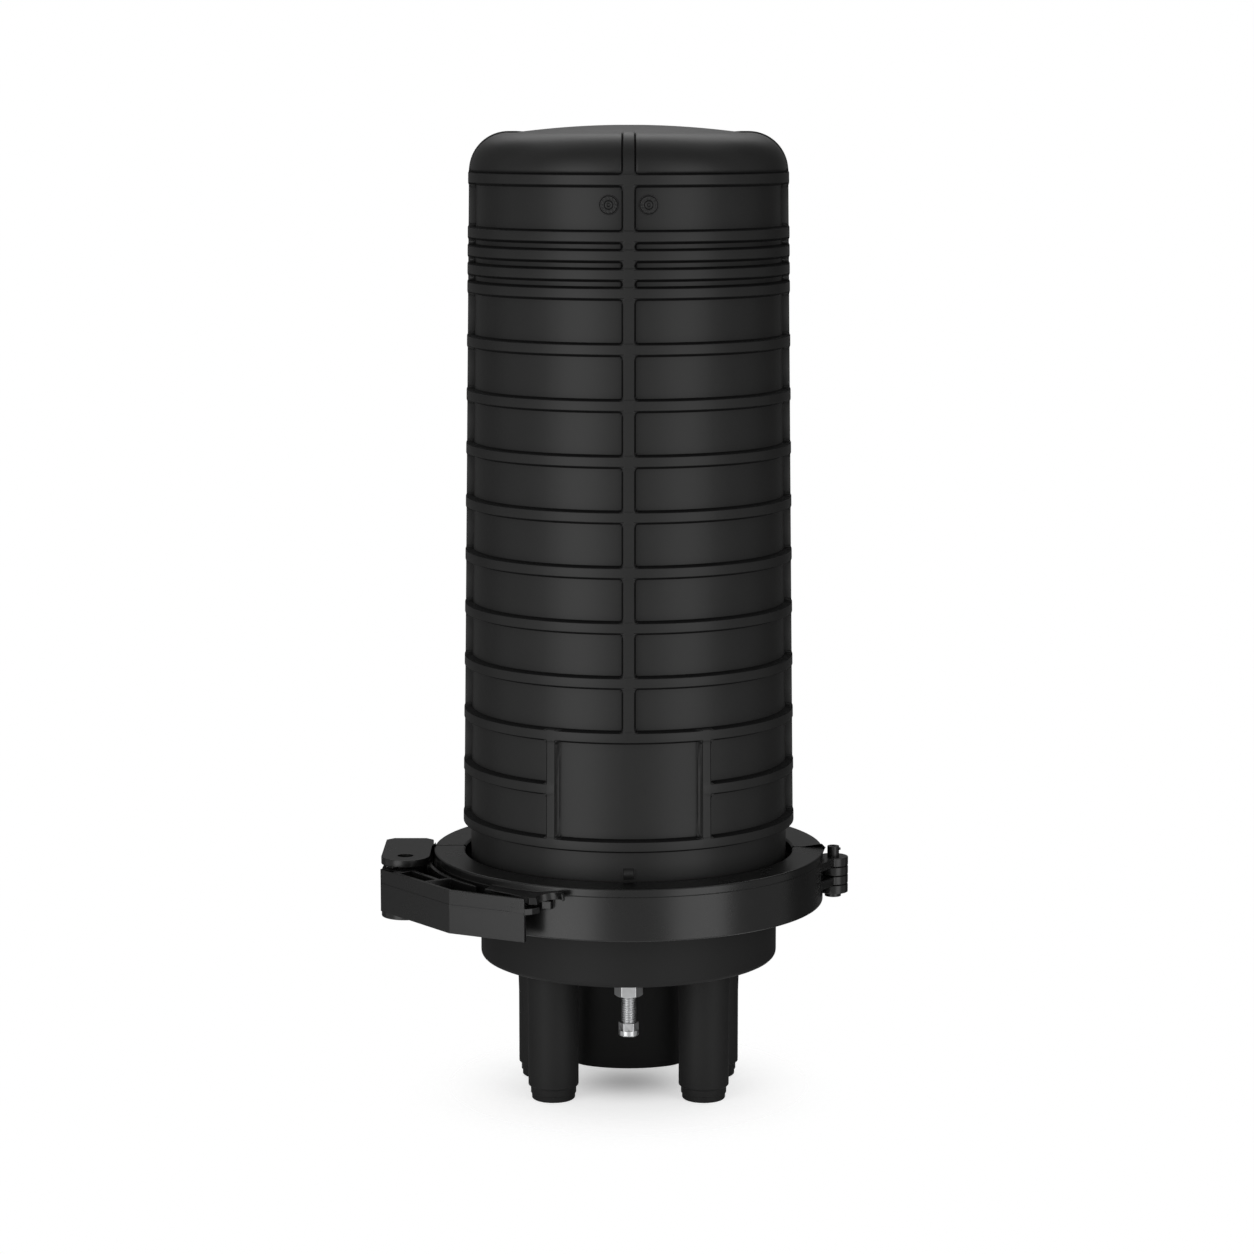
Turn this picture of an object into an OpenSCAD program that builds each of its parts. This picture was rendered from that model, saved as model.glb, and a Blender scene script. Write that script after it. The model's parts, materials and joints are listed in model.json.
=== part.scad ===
// Dome splice closure: a ribbed dome on a round base with moulded cable ports, held by a
// hinged two-part clamp ring with a lever latch, and the tray stack that it encloses.
// Origin: on the dome's axis, in the plane that the ports stand on. +Z is up, -Y is the front.

/* [Dome] */
// Radius over the ring ribs at the shoulder
dome_top_r = 83.3; // [78:0.1:86]
// Radius over the ring ribs at the lowest rib
dome_bottom_r = 88; // [86:0.1:92]
// Height of the dome's ribs above its panels
rib_height = 4.1; // [2:0.1:6]
// Width of a rib where it meets the panel
rib_width = 5.7; // [4:0.1:7]
// Distance from one ring rib to the next
rib_pitch = 28.05; // [24:0.05:32]
// Number of ring ribs at the regular pitch
rib_count = 13; // [8:1:14]
// Wall thickness of the dome
dome_wall = 3; // [2:0.1:4]
// Outer radius of the dome's shoulder, over the ribs
shoulder_r = 21; // [14:0.5:30]
// Depth of the crown's panels below the ribs
crown_depth = 1.2; // [0.6:0.1:4]
// Height from the dome's foot to its lowest rib
skirt_height = 31.3; // [26:0.1:36]
// Rise of the crown's shallow cap
cap_rise = 3.4; // [1:0.1:8]
// Angle from the front to each side rib of the label recess
label_angle = 27.2; // [20:0.1:40]

/* [Base and ports] */
// Height of the dish's underside above the plane that the ports stand on
port_length = 72; // [60:1:120]
// Outer radius of the dish
dish_r = 79; // [72:0.5:86]
// Height from the dish's underside to the joint with the dome
dish_height = 41.7; // [36:0.1:60]
// Wall thickness of the dish
base_wall = 3.2; // [2.4:0.1:4]
// Radius of a round port
port_r = 13.35; // [9:0.05:14]
// Wall thickness of the ports
port_wall = 2.5; // [1.6:0.1:3]
// Distance from the dish's rim to the circle that the round ports lie on
port_inset = 29.6; // [28:0.1:34]
// Width of the oval port
oval_w = 62; // [50:1:64]
// Depth of the oval port
oval_d = 38; // [30:1:40]
// Distance from the dish's rim to the oval port's centre
oval_inset = 33.5; // [30:0.5:36]
// Distance from the dish's rim to the earth stud's axis
stud_inset = 15; // [13:0.5:18]
// Diameter of the earth stud's thread
stud_d = 8; // [6:0.5:10]

/* [Clamp ring] */
// Width of the flanges that the clamp ring grips
flange_w = 12.6; // [10:0.1:16]
// Thickness of each flange at its rim
flange_t = 4.2; // [3:0.1:6]
// Rise of a flange's sloping face from its rim to its root
flange_slope = 3; // [1:0.1:4]
// Clearance between the clamp ring and what it grips
clamp_gap = 0.3; // [0.2:0.05:0.6]
// Wall of the clamp ring outside the flanges
clamp_wall = 7; // [5:0.1:10]
// Height of the clamp ring above the joint
clamp_above = 16.2; // [13:0.1:20]
// Height of the clamp ring below the joint
clamp_below = 11.2; // [10:0.1:16]
// Gap between the two halves of the ring
seam_gap = 2.4; // [1:0.1:4]
// Thickness of the seal between dome and base
seal_t = 3.6; // [2.6:0.1:4]
// Width of the seal
seal_w = 5.4; // [3:0.1:6]

/* [Hinge and latch] */
// Radius of the hinge knuckles
knuckle_r = 8; // [7:0.1:9]
// Diameter of the hinge pin
hinge_pin_d = 6.3; // [5:0.1:8]
// Distance from the ring's outer face to the hinge pin's axis
hinge_reach = 5.6; // [5:0.1:8]
// Distance that the latch pin stands outside the ring
latch_reach = 16.2; // [16:0.1:20]
// Distance of the latch pin in front of the ring's seam
latch_front = 22.5; // [20:0.5:26]
// Radius of the lug plates' round end
lug_r = 12.8; // [11:0.1:14]
// Thickness of the lug plates
lug_t = 4; // [3:0.1:6]
// Diameter of the latch pin
latch_pin_d = 6.6; // [5:0.1:8]
// Height of the lever
lever_h = 22.6; // [18:0.1:22.8]
// Wall thickness of the lever
lever_wall = 2.4; // [1.6:0.1:3]
// Radial clearance of a pin in its bore
pin_gap = 0.05; // [0.02:0.01:0.1]

/* [Trays] */
// Number of splice trays
tray_count = 4; // [1:1:4]
// Distance from the dish's rim to the side of a splice tray
tray_side = 30; // [28:0.5:36]
// Length of a splice tray
tray_l = 168; // [120:1:175]
// Depth of a splice tray
tray_t = 8; // [6:0.5:8]
// Wall thickness of a splice tray
tray_wall = 1.5; // [1:0.1:2]
// Number of splices that one holder takes
splice_count = 12; // [6:1:14]
// Sheet thickness of the tray frame
sheet_t = 2; // [1.5:0.1:3]

/* [Hidden] */
$fn = 96;

black = [0.16, 0.16, 0.17];
grey = [0.24, 0.24, 0.25];
steel = [0.72, 0.73, 0.75];
seat_gap = 0.3;
cut = 1;

// Heights of the joint between dome and base, and of the ribs above it
joint_z = port_length + dish_height;
dome_z = joint_z + seat_gap;
first_rib_z = dome_z + skirt_height;
rib_flank = 0.7;
extra_pitch = rib_pitch / 3;
top_rib_z = first_rib_z + (rib_count - 1) * rib_pitch;
shoulder_z = top_rib_z + rib_width + 0.4;
top_z = shoulder_z + shoulder_r;
label_top_z = first_rib_z + 2 * rib_pitch;
web_drop = 0.6;
web_w = rib_width - 0.5;
pip_w = 5.2;
pip_h = 5.5;
pip_out = 2.4;

// Radii of the dome at a height: over the ribs, of the panels, and at the clamp
function crest_r(z) = dome_bottom_r
    + (dome_top_r - dome_bottom_r) * (z - first_rib_z) / (shoulder_z - first_rib_z);
function panel_r(z) = crest_r(z) - rib_height;
skirt_r = panel_r(first_rib_z);
flange_r = skirt_r + flange_w;
clamp_r = flange_r + clamp_gap + clamp_wall;
clamp_z = joint_z - clamp_below;
clamp_top = joint_z + clamp_above;
ring_h = clamp_above + clamp_below;
seal_mid_r = skirt_r + flange_w / 2;

// Points of an arc about [x, y] from angle a to angle b
function arc(x, y, r, a, b, n) = [for (i = [0:n])
    [x + r * cos(a + (b - a) * i / n), y + r * sin(a + (b - a) * i / n)]];

// Half-section of the dome's outside from its shoulder inwards, drawn in by d
cap_r = 54.5;
function crown(d) = concat(
    arc(crest_r(shoulder_z) - shoulder_r, shoulder_z, shoulder_r - d, 0, 90, 10),
    [for (i = [8:-1:0]) [cap_r * i / 8, top_z - d + cap_rise * (1 - pow(i / 8, 2))]]);

// ---- Dome ----

// Section of one ring rib whose lower edge is at z
module rib_section(z) {
    polygon([[panel_r(z) - 1, z], [panel_r(z), z], [crest_r(z), z + rib_flank],
        [crest_r(z + rib_width), z + rib_width - rib_flank],
        [panel_r(z + rib_width), z + rib_width], [panel_r(z + rib_width) - 1, z + rib_width]]);
}

module dome_section() {
    polygon(concat([[0, dome_z], [flange_r, dome_z], [flange_r, dome_z + flange_t],
        [skirt_r, dome_z + flange_t + flange_slope], [skirt_r, first_rib_z],
        [panel_r(top_rib_z + 1), top_rib_z + 1],
        [crest_r(top_rib_z + 1) - crown_depth, top_rib_z + 1]], crown(crown_depth)));
    for (i = [0:rib_count - 1])
        if (i != 1) rib_section(first_rib_z + i * rib_pitch);
    for (i = [1, 2]) rib_section(top_rib_z - rib_pitch - i * extra_pitch);
}

// Flat rib that runs up one side, over the crown and down the other side
module crown_web(left_z, right_z) {
    crest = crown(web_drop);
    rotate([90, 0, 0]) linear_extrude(web_w, center = true) polygon(concat(
        [[0, left_z], [crest_r(right_z) - web_drop, right_z]], crest,
        [for (i = [len(crest) - 2:-1:0]) [-crest[i][0], crest[i][1]]],
        [[-crest_r(left_z) + web_drop, left_z]]));
}

module label_rib(side) {
    low = first_rib_z + rib_width / 2;
    rotate([0, 0, -90 + side * label_angle])
        translate([skirt_r - 2, -web_w / 2, low])
            cube([rib_height + 1, web_w, label_top_z - low + rib_width / 2]);
}

module dome() {
    color(black) difference() {
        union() {
            rotate_extrude() dome_section();
            rotate([0, 0, -90 + label_angle]) rotate_extrude(angle = 360 - 2 * label_angle)
                rib_section(first_rib_z + rib_pitch);
            crown_web(first_rib_z + rib_width / 2, first_rib_z + rib_width / 2);
            rotate([0, 0, 90]) crown_web(label_top_z + rib_width / 2, first_rib_z + rib_width / 2);
            for (side = [-1, 1]) label_rib(side);
            translate([-pip_w / 2, -skirt_r - pip_out, clamp_top + 1]) cube([pip_w, 2 * pip_out, pip_h]);
        }
        rotate_extrude() polygon(concat([[0, dome_z - cut], [skirt_r - dome_wall, dome_z - cut],
            [skirt_r - dome_wall, first_rib_z], [panel_r(top_rib_z) - dome_wall, top_rib_z],
            [panel_r(shoulder_z) - dome_wall, top_rib_z + rib_width]],
            crown(crown_depth + dome_wall)));
    }
}

// ---- Base ----

spigot_h = 8;
port_rows = [[36.2, -1], [20.9, 1]];
port_stub = 7;
stub_r = port_r - 1.9;
port_circle_r = dish_r - port_inset;
oval_y = dish_r - oval_inset;
stud_y = dish_r - stud_inset;
boss_x = stud_y;
boss_d = 11;
spigot_r = skirt_r - dome_wall - 1.9;
port_places = [for (row = port_rows) for (side = [-1, 1])
    [side * port_circle_r * cos(row[0]), row[1] * port_circle_r * sin(row[0])]];
floor_top = port_length + base_wall;
boss_places = [[-boss_x, 0], [boss_x, 0], [0, -4]];
boss_h = 16;
bolt_d = 5;

// Outline of the oval port, made of four arcs
function oval(w, d, r = 50) =
    let (e = (r * r - pow(r - d / 2, 2) - w * w / 4) / (2 * r - w),
         t = atan2(r - d / 2, w / 2 - e))
    concat(arc(w / 2 - e, 0, e, -t, t, 10), arc(0, d / 2 - r, r, t, 180 - t, 12),
        arc(e - w / 2, 0, e, 180 - t, 180 + t, 10), arc(0, r - d / 2, r, 180 + t, 360 - t, 12));

module round_port() {
    rotate_extrude() polygon([[0, 0], [stub_r - 0.6, 0], [stub_r, 0.6], [stub_r, 3.2],
        [stub_r + 0.6, 3.4], [stub_r + 0.6, port_stub], [port_r - 0.8, port_stub],
        [port_r, port_stub + 0.8], [port_r, port_length * 0.65],
        [port_r + 0.8, port_length + 1], [0, port_length + 1]]);
}

module base_section() {
    low = joint_z - flange_t;
    polygon(concat([[0, port_length]], arc(dish_r - 3, port_length + 3, 3, -90, 0, 5),
        [[dish_r, low - flange_slope], [flange_r, low], [flange_r, joint_z],
        [spigot_r, joint_z], [spigot_r, joint_z + spigot_h], [0, joint_z + spigot_h]]));
}

// Section of the room inside the dish and the spigot
module dish_room() {
    low = joint_z - flange_t;
    polygon([[0, floor_top], [dish_r - base_wall, floor_top],
        [dish_r - base_wall, low - flange_slope], [spigot_r - base_wall, low],
        [spigot_r - base_wall, joint_z + spigot_h + cut], [0, joint_z + spigot_h + cut]]);
}

module base() {
    color(black) difference() {
        union() {
            rotate_extrude() difference() {
                base_section();
                dish_room();
            }
            for (p = port_places) translate(p) round_port();
            translate([0, oval_y, 0]) linear_extrude(port_length + 1) polygon(oval(oval_w, oval_d));
            for (p = boss_places) translate([p[0], p[1], floor_top - 1]) cylinder(d = boss_d, h = boss_h + 1);
        }
        for (p = port_places) translate([p[0], p[1], port_wall])
            cylinder(r = port_r - port_wall, h = port_length + cut + base_wall);
        translate([0, oval_y, port_wall]) linear_extrude(port_length + cut + base_wall)
            polygon(oval(oval_w - 2 * port_wall, oval_d - 2 * port_wall));
        for (p = boss_places) translate([p[0], p[1], floor_top + 4])
            cylinder(r = bolt_d / 2 + pin_gap, h = boss_h);
        translate([0, -stud_y, 0]) cylinder(r = stud_d / 2 + pin_gap, h = joint_z);
        translate([0, 0, joint_z - seal_t]) difference() {
            cylinder(r = seal_mid_r + seal_w / 2 + seat_gap, h = seal_t + cut);
            translate([0, 0, -cut]) cylinder(r = seal_mid_r - seal_w / 2 - seat_gap, h = seal_t + 3 * cut);
        }
    }
}

module seal_ring() {
    z = joint_z - seal_t;
    color([0.1, 0.1, 0.11]) rotate_extrude() translate([seal_mid_r, z])
        polygon([[-seal_w / 2, 0], [seal_w / 2, 0], [seal_w / 2, seal_t - 0.6],
            [seal_w / 2 - 0.9, seal_t + seat_gap], [-seal_w / 2 + 0.9, seal_t + seat_gap],
            [-seal_w / 2, seal_t - 0.6]]);
}

// ---- Clamp ring, hinge and latch ----

seam_left_y = 4.2;
seam_right_y = 0;
lip_r = skirt_r + 3.1;
low_lip_r = dish_r + 3;
clamp_fillet = 1;
line_drop = 4.2;
line_d = 0.25;
line_w = 0.5;
hinge_x = clamp_r + hinge_reach;
knuckle_z = clamp_z + 2.9;
knuckle_h = 4.9;
knuckle_gap = 0.3;
knuckle_count = 4;
hinge_h = knuckle_count * knuckle_h;
arm_y = 22;
pin_foot = 2.2;
pin_stand = 5.4;
latch_x = -sqrt(pow(clamp_r + latch_reach, 2) - pow(latch_front, 2));
latch_y = -latch_front;
lever_z = clamp_z - 0.1;
lever_top = lever_z + lever_h;
lug_top = clamp_top;
low_lug_z = lever_z - 0.7 - lug_t;
lug_end = latch_front + 22.5;
lug_corner = 4;
web_x = latch_x - lug_r + 1;
web_y = 6.5;
web_l = 11;
pin_recess = 2;

// Section of the clamp ring: a sloping groove that draws the flanges together, and a fine
// parting line round the outer wall
module clamp_section() {
    up = dome_z + flange_t + clamp_gap;
    low = joint_z - flange_t - clamp_gap;
    groove_r = flange_r + clamp_gap;
    slope_up = flange_slope / flange_w;
    slope_low = flange_slope / (flange_r - dish_r);
    line_z = clamp_top - line_drop;
    polygon(concat([[low_lip_r, clamp_z], [clamp_r - 0.6, clamp_z], [clamp_r, clamp_z + 0.6],
        [clamp_r, line_z - line_w / 2], [clamp_r - line_d, line_z], [clamp_r, line_z + line_w / 2]],
        arc(clamp_r - clamp_fillet, clamp_top - clamp_fillet, clamp_fillet, 0, 90, 6),
        [[lip_r + 1, clamp_top], [lip_r, clamp_top - 1],
        [lip_r, up + (groove_r - lip_r) * slope_up], [groove_r, up], [groove_r, low],
        [low_lip_r, low - (groove_r - low_lip_r) * slope_low]]));
}

// Half of the ring: side is 1 for the rear half and -1 for the front half
module clamp_half_ring(side) {
    x = clamp_r + 10;
    half_gap = side * seam_gap / 2;
    intersection() {
        rotate_extrude() clamp_section();
        translate([0, 0, clamp_z - cut]) linear_extrude(ring_h + 2 * cut)
            polygon([[-x, side * x], [-x, seam_left_y + half_gap], [-low_lip_r / 2, seam_left_y + half_gap],
                [low_lip_r / 2, seam_right_y + half_gap], [x, seam_right_y + half_gap], [x, side * x]]);
    }
}

// Knuckles numbered from the bottom, with the arm that joins each to its half of the ring
module knuckles(side, which) {
    for (i = which) translate([0, 0, knuckle_z + i * knuckle_h + knuckle_gap / 2])
        linear_extrude(knuckle_h - knuckle_gap) {
            translate([hinge_x, 0]) circle(r = knuckle_r);
            polygon([[hinge_x, side * knuckle_r * 0.99],
                [clamp_r - 2.4, side * arm_y], [clamp_r - 8, side * (arm_y - 1)],
                [clamp_r - 4, side * (knuckle_r + 1)], [hinge_x - 2, 0], [hinge_x, 0]]);
        }
}

// Room in one half for the other half's knuckles
module knuckle_room(which) {
    for (i = which) translate([hinge_x, 0, knuckle_z + i * knuckle_h - knuckle_gap / 2])
        cylinder(r = knuckle_r + 0.6, h = knuckle_h + knuckle_gap);
}

module hinge_bore() {
    translate([hinge_x, 0, clamp_z]) cylinder(d = hinge_pin_d + 2 * pin_gap, h = ring_h);
}

// D-shaped lug plate whose round end is concentric with the latch pin
module lug_plate(z) {
    translate([latch_x, latch_y, z]) linear_extrude(lug_t) difference() {
        union() {
            circle(r = lug_r);
            polygon([[-lug_r, 0], [lug_r, 0], [lug_r, lug_end - lug_corner], [lug_r - lug_corner, lug_end],
                [-lug_r + lug_corner, lug_end], [-lug_r, lug_end - lug_corner]]);
        }
        circle(d = latch_pin_d + 2 * pin_gap);
    }
}

module clamp_rear_half() {
    color(grey) difference() {
        union() {
            difference() {
                clamp_half_ring(1);
                knuckle_room([1, 3]);
            }
            knuckles(1, [0, 2]);
            lug_plate(lug_top - lug_t);
            lug_plate(low_lug_z);
            // Web that carries both lug plates from the ring
            translate([web_x, web_y, low_lug_z + 1])
                cube([clamp_wall / 2 - clamp_r - web_x, web_l, lug_top - lug_t - low_lug_z]);
        }
        hinge_bore();
        translate([latch_x, latch_y, lug_top - pin_recess])
            cylinder(d = latch_pin_d + 1.8, h = pin_recess + cut);
    }
}

shelf_top = clamp_top - 3.8;
shelf_t = 3.8;
lip_gap = 0.35;
catch_left = [-0.709, -0.815] * clamp_r;
catch_corner = [-0.4875, -1.0125] * clamp_r;
catch_end = [-0.4509, -1.0125] * clamp_r;
scoop_at = [-0.389, -1.018] * clamp_r;
scoop_r = 6.4;
finger_tip = [-0.3247, -1.026] * clamp_r;
finger_slope = 9;
nib_h = 3.8;
nib_w = 5.2;
nib_out = 3.4;
nib_angle = -113;

// Room beside the catch for the end of the lever's outer wall
module lever_room() {
    along = (lever_c - lever_b) / norm(lever_c - lever_b);
    inward = left_of(lever_b, lever_c) * (lever_wall + 0.6);
    end = lever_c + along * 2.4;
    translate([latch_x, latch_y]) polygon([lever_b - 3 * inward, end - 3 * inward,
        end + inward, lever_b + inward]);
}

// Catch for the lever's free end: its lip lies over the lever's wall
module catch_plate() {
    translate([0, 0, shelf_top - shelf_t]) difference() {
        linear_extrude(shelf_t) polygon([catch_left, catch_corner, catch_end + [1.3, 0],
            [-0.4, -0.85] * clamp_r, [-0.66, -0.70] * clamp_r]);
        translate([scoop_at[0], scoop_at[1], -cut]) cylinder(r = scoop_r, h = shelf_t + 2 * cut);
        translate([0, 0, -cut]) linear_extrude(lever_top + lip_gap - shelf_top + shelf_t + cut)
            lever_room();
    }
}

// Finger grip that goes on from the catch's end and rises along the ring, with a round scoop
module finger_grip() {
    translate([catch_end[0], 0, shelf_top]) rotate([0, -finger_slope, 0])
        translate([-catch_end[0], 0, -shelf_t]) linear_extrude(shelf_t) difference() {
            polygon([catch_end + [-1.7, 0.1], catch_end + [3, 0.1], finger_tip + [-1, 0],
                finger_tip + [0.4, 0], finger_tip + [1.2, 1], finger_tip + [1, 3],
                finger_tip + [-2.6, 9.5], [-0.44, -0.85] * clamp_r]);
            translate(scoop_at) circle(r = scoop_r);
        }
}

module clamp_front_half() {
    color(grey) difference() {
        union() {
            difference() {
                clamp_half_ring(-1);
                knuckle_room([0, 2]);
            }
            knuckles(-1, [1, 3]);
            difference() {
                union() {
                    catch_plate();
                    finger_grip();
                }
                translate([0, 0, clamp_z]) cylinder(r = clamp_r - clamp_wall / 2, h = ring_h);
            }
            rotate([0, 0, nib_angle]) translate([clamp_r - 2, -nib_w / 2, shelf_top - shelf_t - nib_h])
                cube([nib_out + 2, nib_w, nib_h + 0.5]);
        }
        hinge_bore();
    }
}

// Hinge pin with a head below the knuckles, and a small barb beside its hollow upper end
module hinge_pin() {
    barb = [1.2, 1.6, 1.2];
    top = pin_foot + hinge_h + pin_stand;
    color(grey) translate([hinge_x, 0, knuckle_z - pin_foot]) difference() {
        union() {
            cylinder(d = hinge_pin_d, h = top);
            cylinder(d = hinge_pin_d + 2.4, h = pin_foot - 0.2);
            translate([hinge_pin_d / 2 - 0.4, -barb[1] / 2, top - barb[2] - 1]) cube(barb);
        }
        translate([0, 0, top - pin_stand - pin_foot]) cylinder(d = hinge_pin_d * 0.45, h = 10);
    }
}

// Straight wall of the lever from p to q
module bar(p, q, t) {
    d = q - p;
    translate(p) rotate(atan2(d[1], d[0])) translate([0, -t / 2]) square([norm(d), t]);
}

// Places on the lever in plan, from the latch pin: the heel, the bend and the free end
lever_a = [-12.6, -11];
lever_b = [26, -61.4];
lever_c = [65, -81.2];
lever_clear = clamp_r + 2.1;
axis_from_pin = [-latch_x, -latch_y];
hub_r = lug_r - 0.4;
band_t = 0.25;
band_z = lever_h * 0.62;
nose_t = 3.4;
nose_z = lever_h - 5.2 - nose_t;

// Unit vector square to the line from p to q, on its left
function left_of(p, q) = [p[1] - q[1], q[0] - p[0]] / norm(q - p);

module lever_outline() {
    r = hub_r - 0.5;
    difference() {
        union() {
            circle(r = r);
            polygon([[-r, 0], lever_a + [0.6, 0.6], lever_b + [0.6, 0.9], [38, -66.8], [44, -62],
                [13.5, 6], [0, 0]]);
        }
        translate(axis_from_pin) circle(r = lever_clear);
    }
}

// Outer wall in two flats that meet at the bend
module lever_outer_wall() {
    n1 = left_of(lever_a, lever_b);
    n2 = left_of(lever_b, lever_c);
    bend = (n1 + n2) / (1 + n1 * n2);
    polygon([lever_a, lever_b, lever_c, lever_c + n2 * lever_wall, lever_b + bend * lever_wall,
        lever_a + n1 * lever_wall]);
}

// Band that stands proud along the mould's parting line on the outer wall
module parting_band() {
    n1 = left_of(lever_a, lever_b) * band_t;
    n2 = left_of(lever_b, lever_c) * band_t;
    a = lever_a + 0.01 * (lever_b - lever_a);
    c = lever_c - 0.01 * (lever_c - lever_b);
    polygon([a + n1, a - n1, lever_b - (n1 + n2) / 2, c - n2, c + n2, lever_b + n1 + n2]);
}

module lever_walls() {
    n1 = left_of(lever_a, lever_b);
    heel = lever_a + 0.24 * (lever_b - lever_a) + n1;
    lever_outer_wall();
    bar([12, -41], [26.8, -31.6], lever_wall);
    bar([19.5, -36.2], [5, -15], lever_wall);
    intersection() {
        lever_outline();
        translate(axis_from_pin) circle(r = lever_clear + lever_wall);
    }
    polygon([[1 - hub_r, 0], lever_a + [0.8, 0.8], heel, [6, -13], [11.2, 0]]);
}

module latch_lever() {
    color(grey) translate([latch_x, latch_y, lever_z]) difference() {
        union() {
            linear_extrude(lever_h) lever_walls();
            translate([0, 0, band_z]) linear_extrude(1.2) parting_band();
            translate([0, 0, lever_h * 0.4]) linear_extrude(2) lever_outline();
            cylinder(r = hub_r, h = lever_h - 4);
            translate([0, 0, nose_z]) linear_extrude(nose_t) polygon([lever_c + [-7, 3.4],
                lever_c, lever_c + [4, 1.6], lever_c + [7.8, 5.2], lever_c + [7, 6.8]]);
        }
        translate([0, 0, -cut]) cylinder(d = latch_pin_d + 2 * pin_gap, h = lever_h + 2 * cut);
        translate([0, 0, lever_h - 4]) cylinder(r = lug_r - 2.4, h = 4 + cut);
        translate([-6.4, -15.8, lever_h - 8]) cylinder(d = 3.8, h = 8 + cut, $fn = 24);
    }
}

module lever_pin() {
    color(steel) translate([latch_x, latch_y, low_lug_z])
        cylinder(d = latch_pin_d, h = lug_top - low_lug_z - pin_recess - 0.2);
}

// ---- Earth stud ----

washer_t = 1.2;
nut_h = 6;
nut_top = port_length - washer_t;
stud_reach = 18.1;
stud_end = nut_top - nut_h - stud_reach;
cap_rim_h = 3;
cap_h = 7.1;

// Hexagon nut whose corners are turned off to a cone at its lower face
module hex_nut(af, h, bore) {
    corner_d = af / cos(30);
    difference() {
        intersection() {
            cylinder(d = corner_d, h = h, $fn = 6);
            cylinder(d1 = af - 0.4, d2 = af - 0.4 + 4 * h, h = h);
        }
        translate([0, 0, -cut]) cylinder(d = bore, h = h + 2 * cut);
    }
}

module earth_stud() {
    color(steel) translate([0, -stud_y, stud_end]) cylinder(d = stud_d, h = floor_top + 9 - stud_end);
}

module earth_washer() {
    color(steel) translate([0, -stud_y, nut_top]) difference() {
        cylinder(d = stud_d * 2, h = washer_t);
        translate([0, 0, -cut]) cylinder(d = stud_d + 0.4, h = washer_t + 2 * cut);
    }
}

module earth_nut() {
    color(steel) translate([0, -stud_y, nut_top - nut_h])
        hex_nut(stud_d * 1.625, nut_h, stud_d + 2 * pin_gap);
}

module earth_cap_nut() {
    color(steel) translate([0, -stud_y, stud_end - cap_rim_h]) difference() {
        union() {
            cylinder(d1 = stud_d + 1.4, d2 = stud_d + 2.4, h = 0.5);
            translate([0, 0, 0.5]) cylinder(d = stud_d + 2.4, h = cap_rim_h - 0.5);
            cylinder(d = stud_d + 2.6, h = cap_h, $fn = 6);
        }
        translate([0, 0, cap_rim_h]) cylinder(r = stud_d / 2 + pin_gap, h = cap_h);
    }
}

module earth_inner_nut() {
    color(steel) translate([0, -stud_y, floor_top]) hex_nut(stud_d * 1.625, nut_h, stud_d + 2 * pin_gap);
}

// ---- Tray frame and trays ----

bracket_z = floor_top + boss_h;
bracket_t = 2;
tray_w = 2 * (dish_r - tray_side);
frame_x = tray_w / 2 + 8;
frame_z = bracket_z + bracket_t;
frame_h = (top_z - frame_z) * 0.84;
plate_y = 13;
tray_corner = 14;
tab_w = 12;
ear_w = 10;
ear_h = 5;
tray_z = frame_z + frame_h - 10 - tray_l;
tray_y0 = plate_y - 3;
hinge_block_h = 8;
hinge_block_z = tray_z - ear_h - hinge_block_h - 1;
below_trays = hinge_block_z - frame_z;
tray_step = tray_t + 1;
strap_z = tray_z + tray_l * 0.55;
strap_w = 16;

// Round plate on the base's bosses that carries the frame and the strength clamps
module bracket_plate() {
    hole_h = bracket_t + 2 * cut;
    color(steel) translate([0, 0, bracket_z]) difference() {
        cylinder(r = dish_r - base_wall - 3, h = bracket_t);
        for (p = port_places) translate([p[0], p[1], -cut]) cylinder(r = port_r, h = hole_h);
        translate([0, oval_y, -cut]) linear_extrude(hole_h) polygon(oval(oval_w, oval_d));
        for (p = boss_places) translate([p[0], p[1], -cut])
            cylinder(r = bolt_d / 2 + pin_gap, h = hole_h);
        translate([0, -stud_y, -cut]) cylinder(d = stud_d * 2, h = hole_h);
    }
}

module bracket_bolts() {
    color(steel) for (p = boss_places) {
        lift = p[0] == 0 ? 0 : sheet_t;
        translate([p[0], p[1], frame_z + lift]) cylinder(d = bolt_d * 1.8, h = 3.5, $fn = 6);
        translate([p[0], p[1], bracket_z - 10]) cylinder(d = bolt_d, h = 10 + bracket_t + lift + 0.5);
    }
}

// Frame of folded sheet: two side cheeks with feet, and a back with two rows of holes
module tray_frame() {
    foot_l = boss_x + 7 - frame_x + sheet_t / 2;
    back_gap = below_trays * 0.19;
    hole_z = below_trays * 0.38;
    hole_rows = 6;
    color(steel) difference() {
        union() {
            for (side = [-1, 1]) {
                translate([side * frame_x - sheet_t / 2, -plate_y, frame_z])
                    cube([sheet_t, 2 * plate_y, frame_h]);
                translate([side > 0 ? frame_x - sheet_t / 2 : -boss_x - 7, -10, frame_z])
                    cube([foot_l, 20, sheet_t]);
            }
            translate([-frame_x, plate_y - sheet_t, frame_z + back_gap])
                cube([2 * frame_x, sheet_t, frame_h - back_gap]);
        }
        for (p = boss_places) translate([p[0], p[1], frame_z - cut])
            cylinder(r = bolt_d / 2 + pin_gap, h = sheet_t + 2 * cut);
        for (side = [-1, 1]) translate([side * (tray_w / 2 + 2), 0, strap_z - 2])
            translate([-2, 0, 0]) cube([4, 30, strap_w + 4]);
        for (k = [0:hole_rows]) for (side = [-1, 1])
            translate([side * tray_w * 0.225, plate_y + 5,
                frame_z + hole_z + k * (frame_h - hole_z - 20) / hole_rows])
                rotate([90, 0, 0]) cylinder(d = 9, h = 20);
    }
}

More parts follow.
